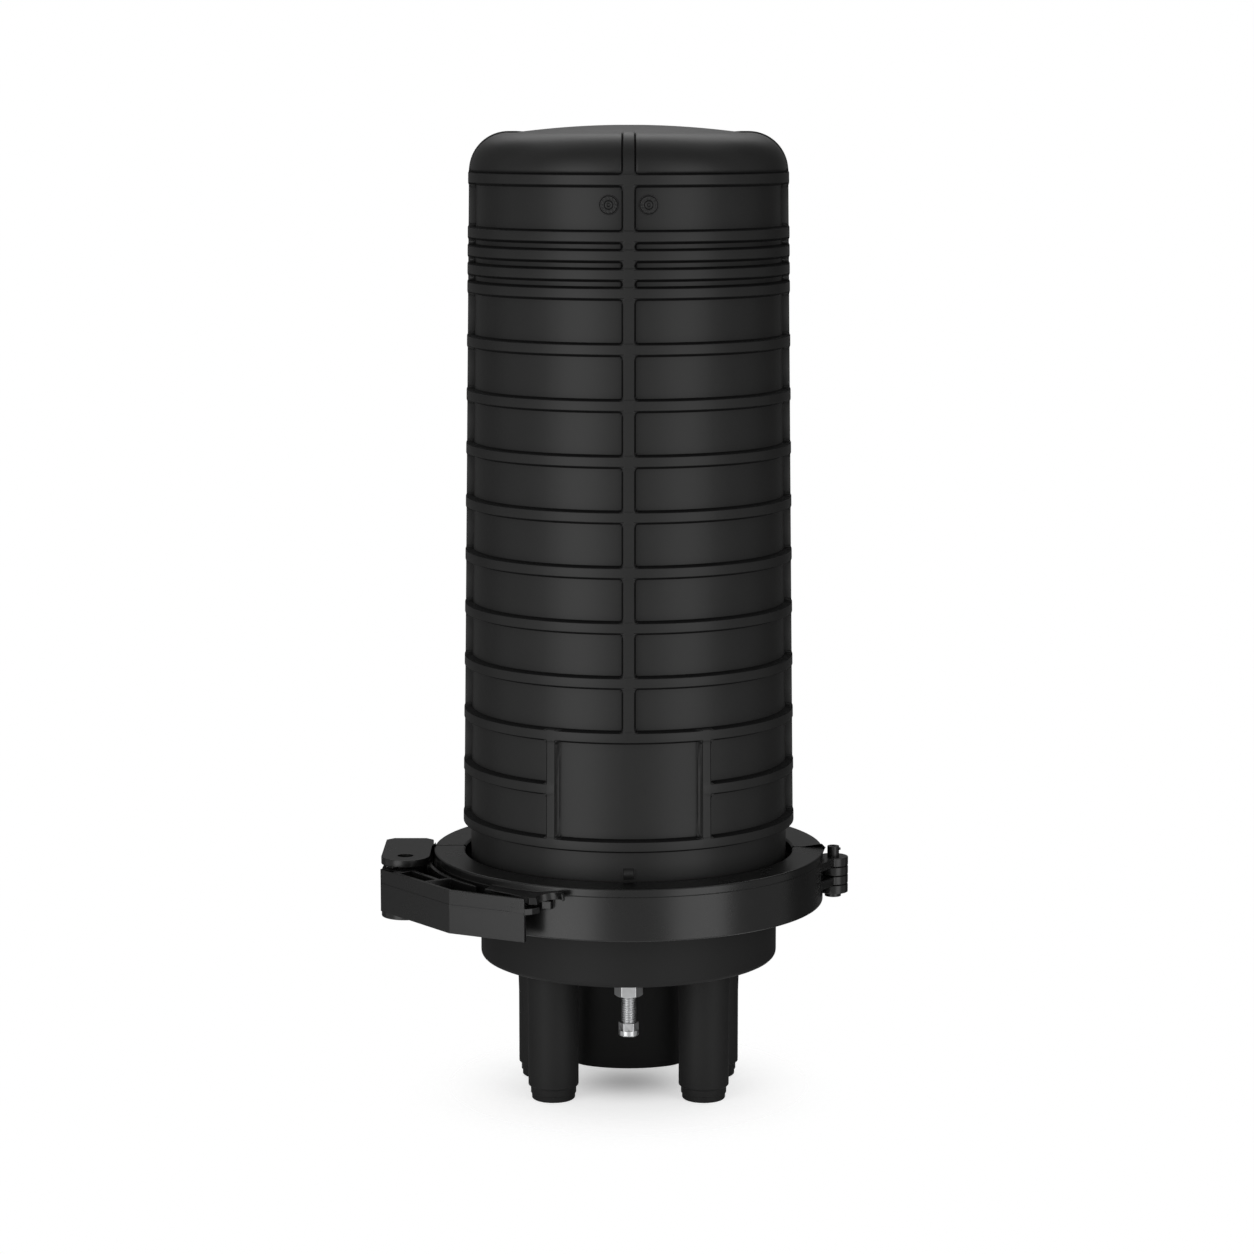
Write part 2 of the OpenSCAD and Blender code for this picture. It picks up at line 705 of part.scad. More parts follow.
// Open box below the trays for the coils of spare fibre
module slack_basket() {
    w = tray_w + 2;
    d = 42;
    h = below_trays * 0.61;
    wall = 2;
    edge = h * 0.19;
    color(black) translate([-w / 2, plate_y - sheet_t - d, frame_z + below_trays * 0.25]) difference() {
        cube([w, d, h]);
        translate([wall, -cut, wall]) cube([w - 2 * wall, d - wall + cut, h - 2 * wall]);
        translate([edge, d - 2 * wall, edge]) cube([w - 2 * edge, 3 * wall, h - 2 * edge]);
    }
}

module tray_hinge_block() {
    span = tray_count * tray_step + 3;
    end_w = 8;
    w = tray_w - 2 * tray_corner + 4;
    color(black) translate([-w / 2, plate_y - sheet_t - span, hinge_block_z]) difference() {
        cube([w, span, hinge_block_h]);
        for (i = [1:tray_count]) translate([end_w, span - 2 - i * tray_step, 3])
            cube([w - 2 * end_w, tray_step - 2, hinge_block_h]);
    }
}

// Splice tray number i, counted from the back: a shallow dish with round corners, retaining
// tabs and two hinge ears
module splice_tray(i) {
    color([0.86, 0.87, 0.86]) translate([0, tray_y0 - i * tray_step, tray_z]) {
        difference() {
            tray_slab(0, tray_t);
            translate([0, -cut, 0]) tray_slab(tray_wall, tray_t - tray_wall + cut);
        }
        for (side = [-1, 1]) for (z = [0.14, 0.5, 0.86])
            translate([side * (tray_w / 2 - 4.5) - tab_w / 3, 0.2, z * tray_l - tab_w / 2])
                cube([tab_w / 1.5, 1.2, tab_w]);
        for (side = [-1, 1]) translate([side * (tray_w / 4) - ear_w / 2, 1, -ear_h])
            cube([ear_w, tray_t - 2, ear_h + 1]);
    }
}

// Slab with round corners in the plane of the trays, drawn in by d
module tray_slab(d, t) {
    c = tray_corner;
    r = c - d;
    w = tray_w / 2 - c;
    l = tray_l - c;
    translate([0, t, 0]) rotate([90, 0, 0]) linear_extrude(t) polygon(concat(
        arc(w, c, r, -90, 0, 6), arc(w, l, r, 0, 90, 6),
        arc(-w, l, r, 90, 180, 6), arc(-w, c, r, 180, 270, 6)));
}

splice_pitch = 3.4;
comb_t = 1;
comb_h = 3.4;
comb_l = 30;

// Splice holder number i: a comb whose grooves each take one splice
module splice_holder(i) {
    y = tray_y0 - i * tray_step + tray_t - tray_wall;
    w = splice_count * splice_pitch + comb_t;
    color([0.2, 0.34, 0.55]) translate([-w / 2, y - comb_h - comb_t, tray_z + (tray_l - comb_l) / 2]) {
        translate([0, comb_h - 0.2, 0]) cube([w, comb_t + 0.2, comb_l]);
        for (k = [0:splice_count]) translate([k * splice_pitch, 0, 0]) cube([comb_t, comb_h, comb_l]);
    }
}

module tray_cover() {
    y = tray_y0 - tray_count * tray_step - 2;
    color([0.8, 0.82, 0.83]) translate([0, y, tray_z]) tray_slab(0, 1.6);
}

module tray_strap() {
    front = tray_y0 - tray_count * tray_step - 2 - seat_gap;
    back = plate_y + seat_gap;
    x = tray_w / 2 + seat_gap;
    t = 1.4;
    color([0.12, 0.12, 0.13]) translate([0, 0, strap_z]) linear_extrude(strap_w) difference() {
        translate([-x - t, front - t]) square([2 * x + 2 * t, back - front + 2 * t]);
        translate([-x, front]) square([2 * x, back - front]);
    }
}

clamp_places = [for (side = [-1, 1]) for (q = [[29.4, -45], [49, 37]]) [side * q[0], q[1]]];
clamp_block = [12, 8, 9];
clamp_slot = [6, 10, 4];
screw_d = 3;
screw_l = 5;

// Clamp blocks for the cables' strength members, each with a slot and a screw hole
module strength_clamps() {
    color(steel) for (p = clamp_places)
        translate([p[0] - clamp_block[0] / 2, p[1] - clamp_block[1] / 2, frame_z]) difference() {
            cube(clamp_block);
            translate([(clamp_block[0] - clamp_slot[0]) / 2, -cut, 3]) cube(clamp_slot);
            translate([clamp_block[0] / 2, clamp_block[1] / 2, 6])
                cylinder(r = screw_d / 2 + pin_gap, h = 4);
        }
}

module clamp_screws() {
    color(steel) for (p = clamp_places)
        translate([p[0], p[1], frame_z + clamp_block[2] - screw_l + 0.5]) {
            cylinder(d = screw_d, h = screw_l);
            translate([0, 0, screw_l - 0.5]) cylinder(d = screw_d + 2.6, h = 2.4);
        }
}

dome();
base();
seal_ring();
clamp_rear_half();
clamp_front_half();
hinge_pin();
latch_lever();
lever_pin();
earth_stud();
earth_washer();
earth_nut();
earth_cap_nut();
earth_inner_nut();
bracket_plate();
bracket_bolts();
tray_frame();
slack_basket();
tray_hinge_block();
tray_cover();
tray_strap();
strength_clamps();
clamp_screws();
for (i = [1:tray_count]) {
    splice_tray(i);
    splice_holder(i);
}
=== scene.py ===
"""Dresses a dome splice closure: ribbed dome, base with round ports, clamp ring, latch and earth stud.

The axes are the CAD's: z is up and the front faces -y. Lengths are in millimetres, and mesh_from()
turns them to metres; only the camera, the lamps and the finishes take metres.
"""

import json
import logging
import math
from dataclasses import dataclass
from enum import Enum
from typing import Sequence

import bmesh
import bpy
import numpy as np
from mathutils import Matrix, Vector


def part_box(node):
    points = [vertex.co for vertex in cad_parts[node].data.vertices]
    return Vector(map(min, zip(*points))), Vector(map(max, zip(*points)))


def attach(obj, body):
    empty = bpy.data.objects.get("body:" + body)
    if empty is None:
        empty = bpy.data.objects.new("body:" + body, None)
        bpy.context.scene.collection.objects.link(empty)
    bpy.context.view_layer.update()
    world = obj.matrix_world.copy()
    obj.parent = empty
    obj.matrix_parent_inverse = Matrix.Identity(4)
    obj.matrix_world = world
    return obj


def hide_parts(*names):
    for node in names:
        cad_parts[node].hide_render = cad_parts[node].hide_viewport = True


MM = 0.001
QUARTER = math.pi / 2
TURN = 4 * QUARTER
WHITE = (1.0, 1.0, 1.0, 1.0)

logging.basicConfig(level=logging.INFO, format="%(name)s: %(message)s")
log = logging.getLogger("closure")

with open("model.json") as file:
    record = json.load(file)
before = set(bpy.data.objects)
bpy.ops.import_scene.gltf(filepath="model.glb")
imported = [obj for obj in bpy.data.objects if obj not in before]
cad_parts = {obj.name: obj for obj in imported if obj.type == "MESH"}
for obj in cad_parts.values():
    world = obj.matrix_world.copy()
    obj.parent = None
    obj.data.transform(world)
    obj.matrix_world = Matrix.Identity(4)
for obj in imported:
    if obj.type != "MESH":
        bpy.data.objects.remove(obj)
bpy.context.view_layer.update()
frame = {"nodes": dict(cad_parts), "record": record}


# ---------------- meshes

def mesh_from(name: str, points: np.ndarray, faces: Sequence) -> bpy.types.Object:
    """Makes a smoothly shaded object from points in millimetres.

    Args:
        name: the piece's name.
        points: an array of n rows of x, y, z in millimetres.
        faces: lists of vertex indices, outward by the right-hand rule.

    Returns:
        The new object, linked to the scene.
    """
    mesh = bpy.data.meshes.new(name)
    mesh.from_pydata((np.asarray(points, float) * MM).tolist(), [], [list(map(int, f)) for f in faces])
    mesh.polygons.foreach_set("use_smooth", np.full(len(mesh.polygons), True))
    mesh.update()
    piece = bpy.data.objects.new(name, mesh)
    bpy.context.scene.collection.objects.link(piece)
    return piece


def grid_faces(rows: int, columns: int, wrap: bool) -> np.ndarray:
    """Quads of a grid whose vertices run row by row.

    Args:
        rows: number of rows.
        columns: number of columns.
        wrap: joins the last column to the first.

    Returns:
        An array of four vertex indices for each quad.
    """
    last = columns if wrap else columns - 1
    i, j = np.meshgrid(np.arange(rows - 1), np.arange(last), indexing="ij")
    k = (j + 1) % columns
    return np.stack([i * columns + j, i * columns + k, (i + 1) * columns + k, (i + 1) * columns + j],
                    axis=-1).reshape(-1, 4)


def closed_tube(name: str, grid: np.ndarray, matt: np.ndarray | None = None) -> bpy.types.Object:
    """Surface of rows that close on themselves, with a point at each end.

    Args:
        name: the piece's name.
        grid: points of shape (rows, columns, 3), anticlockwise seen from the first row's side.
        matt: how matt the first points are, with painted shade, from 0 to 1, for the attribute "matt";
            the others are 0.

    Returns:
        The new object.
    """
    rows, columns = grid.shape[:2]
    flat = grid.reshape(-1, 3)
    ends = np.stack([grid[0].mean(0), grid[-1].mean(0)])
    faces = grid_faces(rows, columns, True)[:, ::-1].tolist()
    j = np.arange(columns)
    k = (j + 1) % columns
    first_end, last_end = len(flat), len(flat) + 1
    last_row = (rows - 1) * columns
    faces += np.stack([j, k, np.full(columns, first_end)], axis=-1).tolist()
    faces += np.stack([last_row + k, last_row + j, np.full(columns, last_end)], axis=-1).tolist()
    piece = mesh_from(name, np.vstack([flat, ends]), faces)
    if matt is not None:
        values = np.zeros(len(flat) + len(ends), np.float32)
        values[:matt.size] = matt.ravel()
        # The attribute gives both a matt finish and painted shade.
        piece.data.attributes.new("matt", "FLOAT", "POINT").data.foreach_set("value", values)
    return piece


def smoothstep(t: np.ndarray) -> np.ndarray:
    """Eases from 0 to 1 as t goes from 0 to 1: t * t * (3 - 2 t)."""
    t = np.clip(t, 0.0, 1.0)
    return t * t * (3.0 - 2.0 * t)


# ---------------- finishes

class Slot(Enum):
    """The record's material slots."""

    DOME = "dome_plastic"
    CLAMP = "clamp_plastic"
    SEAL = "seal_rubber"
    STEEL = "steel"
    INNER = "inner_plastic"
    TRAY = "tray_plastic"
    HOLDER = "holder_plastic"
    STRAP = "strap_fabric"


def new_material(name: str) -> tuple[bpy.types.Material, bpy.types.NodeTree, bpy.types.Node]:
    """Starts a node material.

    Args:
        name: the material's name.

    Returns:
        The material, its node tree and its Principled shader.
    """
    material = bpy.data.materials.new(name)
    material.use_nodes = True
    tree = material.node_tree
    shader = next(n for n in tree.nodes if n.type == "BSDF_PRINCIPLED")
    return material, tree, shader


def put(node: bpy.types.Node, **values: object) -> None:
    """Sets a node's settings and sockets.

    Args:
        node: the node.
        **values: settings by attribute name, or sockets by name with underscores for spaces.
    """
    for key, value in values.items():
        if hasattr(node, key):
            setattr(node, key, value)
        else:
            node.inputs[key.replace("_", " ")].default_value = value


def add(tree: bpy.types.NodeTree, kind: str, **values: object) -> bpy.types.Node:
    """Adds a node.

    Args:
        tree: the node tree.
        kind: the node's type name.
        **values: its settings and sockets, as put() takes them.

    Returns:
        The new node.
    """
    node = tree.nodes.new(kind)
    put(node, **values)
    return node


def join(tree: bpy.types.NodeTree, links: Sequence[tuple]) -> None:
    """Links nodes.

    Args:
        tree: the node tree.
        links: for each link a node, its output, the node that it leads to and that one's input.
    """
    for source, output, target, socket in links:
        tree.links.new(source.outputs[output], target.inputs[socket])


def shades(tree: bpy.types.NodeTree, colour: Sequence[float], dark: float,
           light: float) -> bpy.types.Node:
    """Adds a ramp between two shades of a colour.

    Args:
        tree: the node tree.
        colour: the colour, linear.
        dark: the darker shade's share of it.
        light: the lighter shade's share of it, up to white.

    Returns:
        The ramp's node.
    """
    ramp = add(tree, "ShaderNodeValToRGB")
    for element, share in zip(ramp.color_ramp.elements, (dark, light)):
        element.color = (*[min(c * share, 1.0) for c in colour], 1.0)
    return ramp


@dataclass(frozen=True)
class MouldedPlastic:
    """Satin moulded plastic with a fine spark-eroded grain and faint flow marks.

    Where a mesh has the attribute "matt", its points lose their gloss, and their colour goes nearly
    black with it, which is painted shade.

    Attributes:
        name: the material's name.
        colour: base colour, linear.
        roughness: middle of the roughness.
        grain: size of the grain in features per metre.
        bump: height of the grain in metres.
        specular: specular level.
        flow: size of the flow marks in features per metre.
        uneven: how far the flow marks change the roughness either way.
        painted_shade_share: share of the colour that is left where the surface is matt; this darkening
            is painted shade.
    """

    name: str
    colour: tuple[float, float, float]
    roughness: float = 0.5
    grain: float = 2600.0
    bump: float = 0.00003
    specular: float = 0.4
    flow: float = 38.0
    uneven: float = 0.035
    painted_shade_share: float = 0.05

    def material(self) -> bpy.types.Material:
        """Builds the node material."""
        material, tree, shader = new_material(self.name)
        coords = add(tree, "ShaderNodeTexCoord")
        cloud = add(tree, "ShaderNodeTexNoise", Scale=self.flow, Detail=4.0, Roughness=0.55)
        grain = add(tree, "ShaderNodeTexNoise", Scale=self.grain, Detail=2.0, Roughness=0.6)
        tint = shades(tree, self.colour, 0.93, 1.08)
        tint.color_ramp.elements[0].position = 0.3
        tint.color_ramp.elements[1].position = 0.75
        rough = add(tree, "ShaderNodeMapRange", To_Min=self.roughness - self.uneven,
                    To_Max=self.roughness + self.uneven)
        matt = add(tree, "ShaderNodeAttribute", attribute_name="matt")
        dull = add(tree, "ShaderNodeMath", operation="MAXIMUM")
        # Painted shade: the attribute also darkens the colour nearly to black, besides raising the
        # roughness.
        dark = (*[c * self.painted_shade_share for c in self.colour], 1.0)
        shade = add(tree, "ShaderNodeMix", data_type="RGBA", B=dark)
        bump = add(tree, "ShaderNodeBump", Strength=0.35, Distance=self.bump)
        join(tree, [
            (coords, "Object", cloud, "Vector"), (coords, "Object", grain, "Vector"),
            (cloud, "Fac", tint, "Fac"), (cloud, "Fac", rough, "Value"),
            (grain, "Fac", bump, "Height"), (matt, "Fac", shade, "Factor"),
            (tint, "Color", shade, "A"), (shade, "Result", shader, "Base Color"),
            (rough, "Result", dull, 0), (matt, "Fac", dull, 1),
            (dull, "Value", shader, "Roughness"), (bump, "Normal", shader, "Normal"),
        ])
        put(shader, Specular_IOR_Level=self.specular)
        return material


@dataclass(frozen=True)
class ZincSteel:
    """Bright zinc-plated steel with turning marks and a cloudy passivation.

    Attributes:
        name: the material's name.
        colour: base colour, linear.
        roughness: middle of the roughness.
        smoother: how much smoother the clouds make it.
        rougher: how much rougher they make it.
        marks: size of the turning marks in features per metre.
        bump: height of the turning marks in metres.
    """

    name: str
    colour: tuple[float, float, float] = (0.5, 0.505, 0.51)
    roughness: float = 0.32
    smoother: float = 0.09
    rougher: float = 0.12
    marks: float = 1500.0
    bump: float = 0.00002

    def material(self) -> bpy.types.Material:
        """Builds the node material."""
        material, tree, shader = new_material(self.name)
        coords = add(tree, "ShaderNodeTexCoord")
        cloud = add(tree, "ShaderNodeTexNoise", Scale=240.0, Detail=5.0, Roughness=0.6)
        marks = add(tree, "ShaderNodeTexNoise", Scale=self.marks, Detail=2.0)
        stretch = add(tree, "ShaderNodeMapping", Scale=(0.12, 0.12, 1.0))
        rough = add(tree, "ShaderNodeMapRange", To_Min=self.roughness - self.smoother,
                    To_Max=self.roughness + self.rougher)
        tint = shades(tree, self.colour, 0.86, 1.1)
        bump = add(tree, "ShaderNodeBump", Strength=0.3, Distance=self.bump)
        join(tree, [
            (coords, "Object", cloud, "Vector"), (coords, "Object", stretch, "Vector"),
            (stretch, "Vector", marks, "Vector"), (cloud, "Fac", rough, "Value"),
            (cloud, "Fac", tint, "Fac"), (marks, "Fac", bump, "Height"),
            (tint, "Color", shader, "Base Color"), (rough, "Result", shader, "Roughness"),
            (bump, "Normal", shader, "Normal"),
        ])
        put(shader, Metallic=1.0)
        return material


@dataclass(frozen=True)
class WovenStrap:
    """Hook-and-loop strap: a fine two-way weave over a dark colour.

    Attributes:
        name: the material's name.
        colour: base colour, linear.
        threads: how fine the weave is, in waves.
        bump: height of the weave in metres.
        roughness: the roughness.
    """

    name: str
    colour: tuple[float, float, float] = (0.02, 0.02, 0.022)
    threads: float = 320.0
    bump: float = 0.0002
    roughness: float = 0.85

    def material(self) -> bpy.types.Material:
        """Builds the node material."""
        material, tree, shader = new_material(self.name)
        coords = add(tree, "ShaderNodeTexCoord")
        across = add(tree, "ShaderNodeTexWave", Scale=self.threads, Distortion=0.4)
        along = add(tree, "ShaderNodeTexWave", bands_direction="Z", Scale=self.threads, Distortion=0.4)
        weave = add(tree, "ShaderNodeMath", operation="MULTIPLY")
        tint = shades(tree, self.colour, 0.6, 1.8)
        bump = add(tree, "ShaderNodeBump", Strength=0.6, Distance=self.bump)
        join(tree, [
            (coords, "Object", across, "Vector"), (coords, "Object", along, "Vector"),
            (across, "Fac", weave, 0), (along, "Fac", weave, 1), (weave, "Value", tint, "Fac"),
            (weave, "Value", bump, "Height"), (tint, "Color", shader, "Base Color"),
            (bump, "Normal", shader, "Normal"),
        ])
        put(shader, Roughness=self.roughness)
        return material


class Finishes:
    """One material for each of the record's slots, and a duller one for the base."""

    def __init__(self) -> None:
        """Builds every material."""
        finishes = {
            Slot.DOME: MouldedPlastic("dome_black", (0.014, 0.014, 0.0138), 0.42, specular=0.25),
            Slot.CLAMP: MouldedPlastic("clamp_black", (0.006, 0.006, 0.0059), 0.28, specular=0.38),
            Slot.SEAL: MouldedPlastic("seal_black", (0.02, 0.02, 0.021), 0.75, specular=0.25),
            Slot.STEEL: ZincSteel("zinc_steel"),
            Slot.INNER: MouldedPlastic("inner_black", (0.04, 0.04, 0.042), 0.5),
            Slot.TRAY: MouldedPlastic("tray_pale", (0.5, 0.51, 0.5), 0.42),
            Slot.HOLDER: MouldedPlastic("holder_blue", (0.05, 0.12, 0.3), 0.45),
            Slot.STRAP: WovenStrap("strap_black"),
        }
        self.by_slot = {slot: finish.material() for slot, finish in finishes.items()}
        base = MouldedPlastic("base_black", (0.011, 0.011, 0.0109), 0.6, specular=0.2)
        self.matt_base = base.material()

    def dress(self, piece: bpy.types.Object, slot: Slot) -> None:
        """Gives a piece its slot's material.

        Args:
            piece: the object.
            slot: the record's slot.
        """
        piece.data.materials.clear()
        piece.data.materials.append(self.by_slot[slot])


# ---------------- dome

# A rib's side wall: distance outward from the crest's edge in millimetres, drop as a share of the
# rib's height, and depth as a share of the relief groove.
SIDE_WALL = np.array([
    [-0.30, 0.0, 0.0], [-0.12, 0.012, 0.0], [-0.02, 0.045, 0.0], [0.05, 0.12, 0.0], [0.22, 1.0, 0.0],
    [0.28, 1.0, 1.0], [0.50, 1.0, 0.95], [0.98, 1.0, 0.08], [1.06, 1.0, 0.0], [2.3, 1.0, 0.0],
])
# An upright rib's side wall has more draft: its distances, and the table's distances they stand for.
UPRIGHT_DRAFT = np.array([[-9.0, -9.0], [0.05, 0.05], [0.38, 0.22], [50.0, 49.84]])
# Matt and darkened with painted shade from and to these distances from the crest's edge.
MATT_SHADE_AT_RIB = (-0.02, 1.06)
MATT_SHADE_BELOW_RIB = (-0.12, 1.06)
MATT_SHADE_AT_FRAME = (-0.33, 0.05)
# An upright rib's wall keeps its gloss and takes no painted shade down to this distance.
GLOSSY_UNSHADED_TO = 0.26
# Least distance between two rows of the shell.
LEAST_STEP = 0.045
# A distance that stands for "no rib near", and the one within which a rib counts as near.
FAR = 50.0
BESIDE = 5.0
# The mould marks: radius in millimetres, and height over the panel, which the ticks raise further.
MARK_SECTION = np.array([
    [0.9, 0.14], [1.0, 0.42], [1.9, 0.42], [2.0, 0.1], [2.3, 0.1], [2.4, 0.42], [2.75, 0.42],
    [2.85, 0.3], [3.95, 0.3], [4.05, 0.42], [4.25, 0.42], [4.35, 0.1], [4.6, 0.1], [4.7, 0.42],
    [4.95, 0.42], [5.05, -0.2],
])
MARK_TICKS = 12
TICK_FROM, TICK_TO = 2.8, 4.0
TICK_HEIGHT = 0.22
TICK_SHARE = 0.34
# A mark's surface lower than this is a groove; how matt its grooves and its ticks are. The
# grooves' value also darkens them with painted shade.
GROOVE_HEIGHT = 0.2
GROOVE_MATT_SHADE, TICK_MATT = 0.9, 0.3


def meet(a: np.ndarray, b: np.ndarray, corner: float) -> np.ndarray:
    """Distance from two crests that meet in a rounded corner: corner - hypot(corner - a, corner - b).

    Args:
        a: distance from the first crest's edge, less than 0 on the crest.
        b: distance from the second crest's edge.
        corner: radius of the corner.

    Returns:
        The rounded distance, and the smaller distance on a crest or away from both.
    """
    least = np.minimum(a, b)
    rounded = corner - np.hypot(np.maximum(corner - a, 0), np.maximum(corner - b, 0))
    return np.where((least >= corner) | (least < 0), least, rounded)


def matt_and_shade_between(near: np.ndarray, start: float, end: float) -> np.ndarray:
    """How matt a point is, with painted shade: it rises to 1 just before start, and falls to 0 just
    before end.

    Args:
        near: distance from a crest's edge.
        start: distance at which the matt stretch begins.
        end: distance at which it ends.

    Returns:
        Values from 0 to 1.
    """
    return np.clip((near - start) / 0.03 + 1, 0, 1) * np.clip((end - near) / 0.08 + 0.01, 0, 1)


@dataclass
class Dome:
    """The dome: one moulding with ring ribs, four upright ribs and a framed label recess.

    Attributes:
        top_r: radius over the ring ribs at the shoulder.
        bottom_r: radius over the ring ribs at the lowest rib.
        rib_h: height of the ribs above the panels.
        rib_w: width of a rib at its root.
        inset: how much narrower a rib's crest is on each side.
        pitch: distance between ring ribs.
        rings: number of ring ribs at the regular pitch.
        first_z: lower edge of the lowest rib.
        shoulder_gap: height from the top rib to the start of the shoulder.
        shoulder_r: radius of the shoulder over the ribs.
        cap_r: radius of the crown's shallow cap.
        cap_rise: rise of that cap.
        cap_drop: how much lower the cap is than the ribs' crest, which run out into it.
        run_out: distance over which the ribs run out, at the cap's edge.
        middle_r: radius of the row nearest the crown's middle.
        wall: wall thickness.
        label_deg: angle from the front to each side of the label frame.
        label_fade: how far the split ring's crest draws back over the label frame.
        web_drop: how much lower the upright ribs are than the ring ribs.
        web_rise: distance from a ring rib within which an upright rib rises to it.
        crown_depth: depth of the crown's panels below the ring ribs.
        groove: depth of the fine relief line along the foot of every rib.
        corner: radius of a panel's corners.
        under: share of its true size at which a distance below a ring rib is counted, which makes the
            relief line wider there.
        tab_low: lower edge of the alignment tab.
        tab_high: its upper edge.
        tab_w: its width.
        tab_share: its height as a share of the ribs' height.
        tab_ease: width of the tab's eased edges.
        foot_h: height over the dome's underside at which the skirt meets the flange.
        flange_h: thickness of the flange at its rim.
        flange_ease: size of the flange's eased edges.
        mark_x: distance of the mould marks from the middle.
        mark_z: their height.
        crest_column: distance of a column on an upright rib's crest from the rib's middle.
    """

    top_r: float = 83.3
    bottom_r: float = 88.0
    rib_h: float = 4.1
    rib_w: float = 5.7
    inset: float = 0.4
    pitch: float = 28.05
    rings: int = 13
    first_z: float = 145.3
    shoulder_gap: float = 0.4
    shoulder_r: float = 21.0
    cap_r: float = 54.5
    cap_rise: float = 3.4
    cap_drop: float = 0.6
    run_out: float = 3.0
    middle_r: float = 7.2
    wall: float = 3.0
    label_deg: float = 27.2
    label_fade: float = 1.2
    web_drop: float = 0.4
    web_rise: float = 1.2
    crown_depth: float = 1.2
    groove: float = 0.9
    corner: float = 2.3
    under: float = 0.75
    tab_low: float = 131.2
    tab_high: float = 136.2
    tab_w: float = 5.2
    tab_share: float = 0.62
    tab_ease: float = 0.6
    foot_h: float = 7.5
    flange_h: float = 4.3
    flange_ease: float = 0.5
    mark_x: float = 10.0
    mark_z: float = 472.5
    crest_column: float = 1.9

    def __post_init__(self) -> None:
        """Works out what follows from the sizes."""
        self.floor_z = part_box("dome")[0][2] / MM
        self.flange_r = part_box("dome")[1][0] / MM
        self.top_rib_z = self.first_z + (self.rings - 1) * self.pitch
        self.shoulder_z = self.top_rib_z + self.rib_w + self.shoulder_gap
        self.shoulder_centre = self.crest_r(self.shoulder_z) - self.shoulder_r
        self.top_z = self.shoulder_z + self.shoulder_r
        self.label_top = self.first_z + 2 * self.pitch
        self.label_side = math.radians(self.label_deg)
        self.crest_w = self.rib_w - 2 * self.inset

    def crest_r(self, z: np.ndarray) -> np.ndarray:
        """Radius over the ring ribs at height z: a straight line from bottom_r to top_r."""
        share = (z - self.first_z) / (self.shoulder_z - self.first_z)
        return self.bottom_r + (self.top_r - self.bottom_r) * share

    def cap_z(self, r: np.ndarray, under_top: float) -> np.ndarray:
        """Height of the cap at radius r: a shallow parabola over a plane under_top below the top."""
        return self.top_z - under_top + self.cap_rise * (1 - (r / self.cap_r) ** 2)

    def bands(self) -> np.ndarray:
        """Lower and upper crest edge of each ring rib, with the label-split ring second."""
        low = [self.first_z + i * self.pitch for i in range(self.rings)]
        low += [self.top_rib_z - self.pitch - i * self.pitch / 3 for i in (1, 2)]
        low = np.array(low)
        return np.stack([low + self.inset, low + self.rib_w - self.inset], axis=-1)

    def profile(self) -> tuple[np.ndarray, np.ndarray]:
        """Half-section of the panels from the crown's middle down to the skirt.

        Returns:
            Points (r, z) and unit normals (r, z).
        """
        d = self.rib_h
        r = np.linspace(self.middle_r, self.cap_r, 18)
        cap = np.stack([r, self.cap_z(r, d)], -1)
        slope = 2 * self.cap_rise * r / self.cap_r ** 2
        cap_n = np.stack([slope, np.ones_like(slope)], -1)
        flat = np.array([[(self.cap_r + self.shoulder_centre) / 2, self.top_z - d]])
        t = np.radians(np.linspace(90, 0, 20))
        arc_n = np.stack([np.cos(t), np.sin(t)], -1)
        arc = [self.shoulder_centre, self.shoulder_z] + (self.shoulder_r - d) * arc_n
        z = self.wall_heights()
        wall = np.stack([self.crest_r(z) - d, z], -1)
        wall[z < self.first_z, 0] = self.crest_r(self.first_z) - d
        points = np.vstack([cap, flat, arc, wall])
        normals = np.vstack([cap_n, [[0, 1]], arc_n, np.tile([1.0, 0.0], (len(z), 1))])
        normals /= np.linalg.norm(normals, axis=1)[:, None]
        return points, normals

    def wall_heights(self) -> np.ndarray:
        """Heights of the rows below the shoulder, close together at the ribs' side walls."""
        steps = SIDE_WALL[:, 0]
        bands = self.bands()
        rows = [(bands[:, 0, None] - steps / self.under).ravel(), (bands[:, 1, None] + steps).ravel()]
        middles = (bands[:, 0] + bands[:, 1]) / 2 + self.pitch / 2
        half = self.tab_ease / 2
        beside_tab = np.array([0.0, half, self.tab_ease, 1.0])
        tab = [self.tab_low - beside_tab, [self.tab_low + half], self.tab_high + beside_tab]
        low = self.floor_z + self.foot_h + 1.5
        z = np.concatenate([*rows, middles, *tab, [low, low + 4]])
        z = np.unique(np.round(z, 3))
        z = z[(z < self.shoulder_z - LEAST_STEP) & (z > low - LEAST_STEP)]
        return z[np.concatenate([[True], np.diff(z) > LEAST_STEP])][::-1]

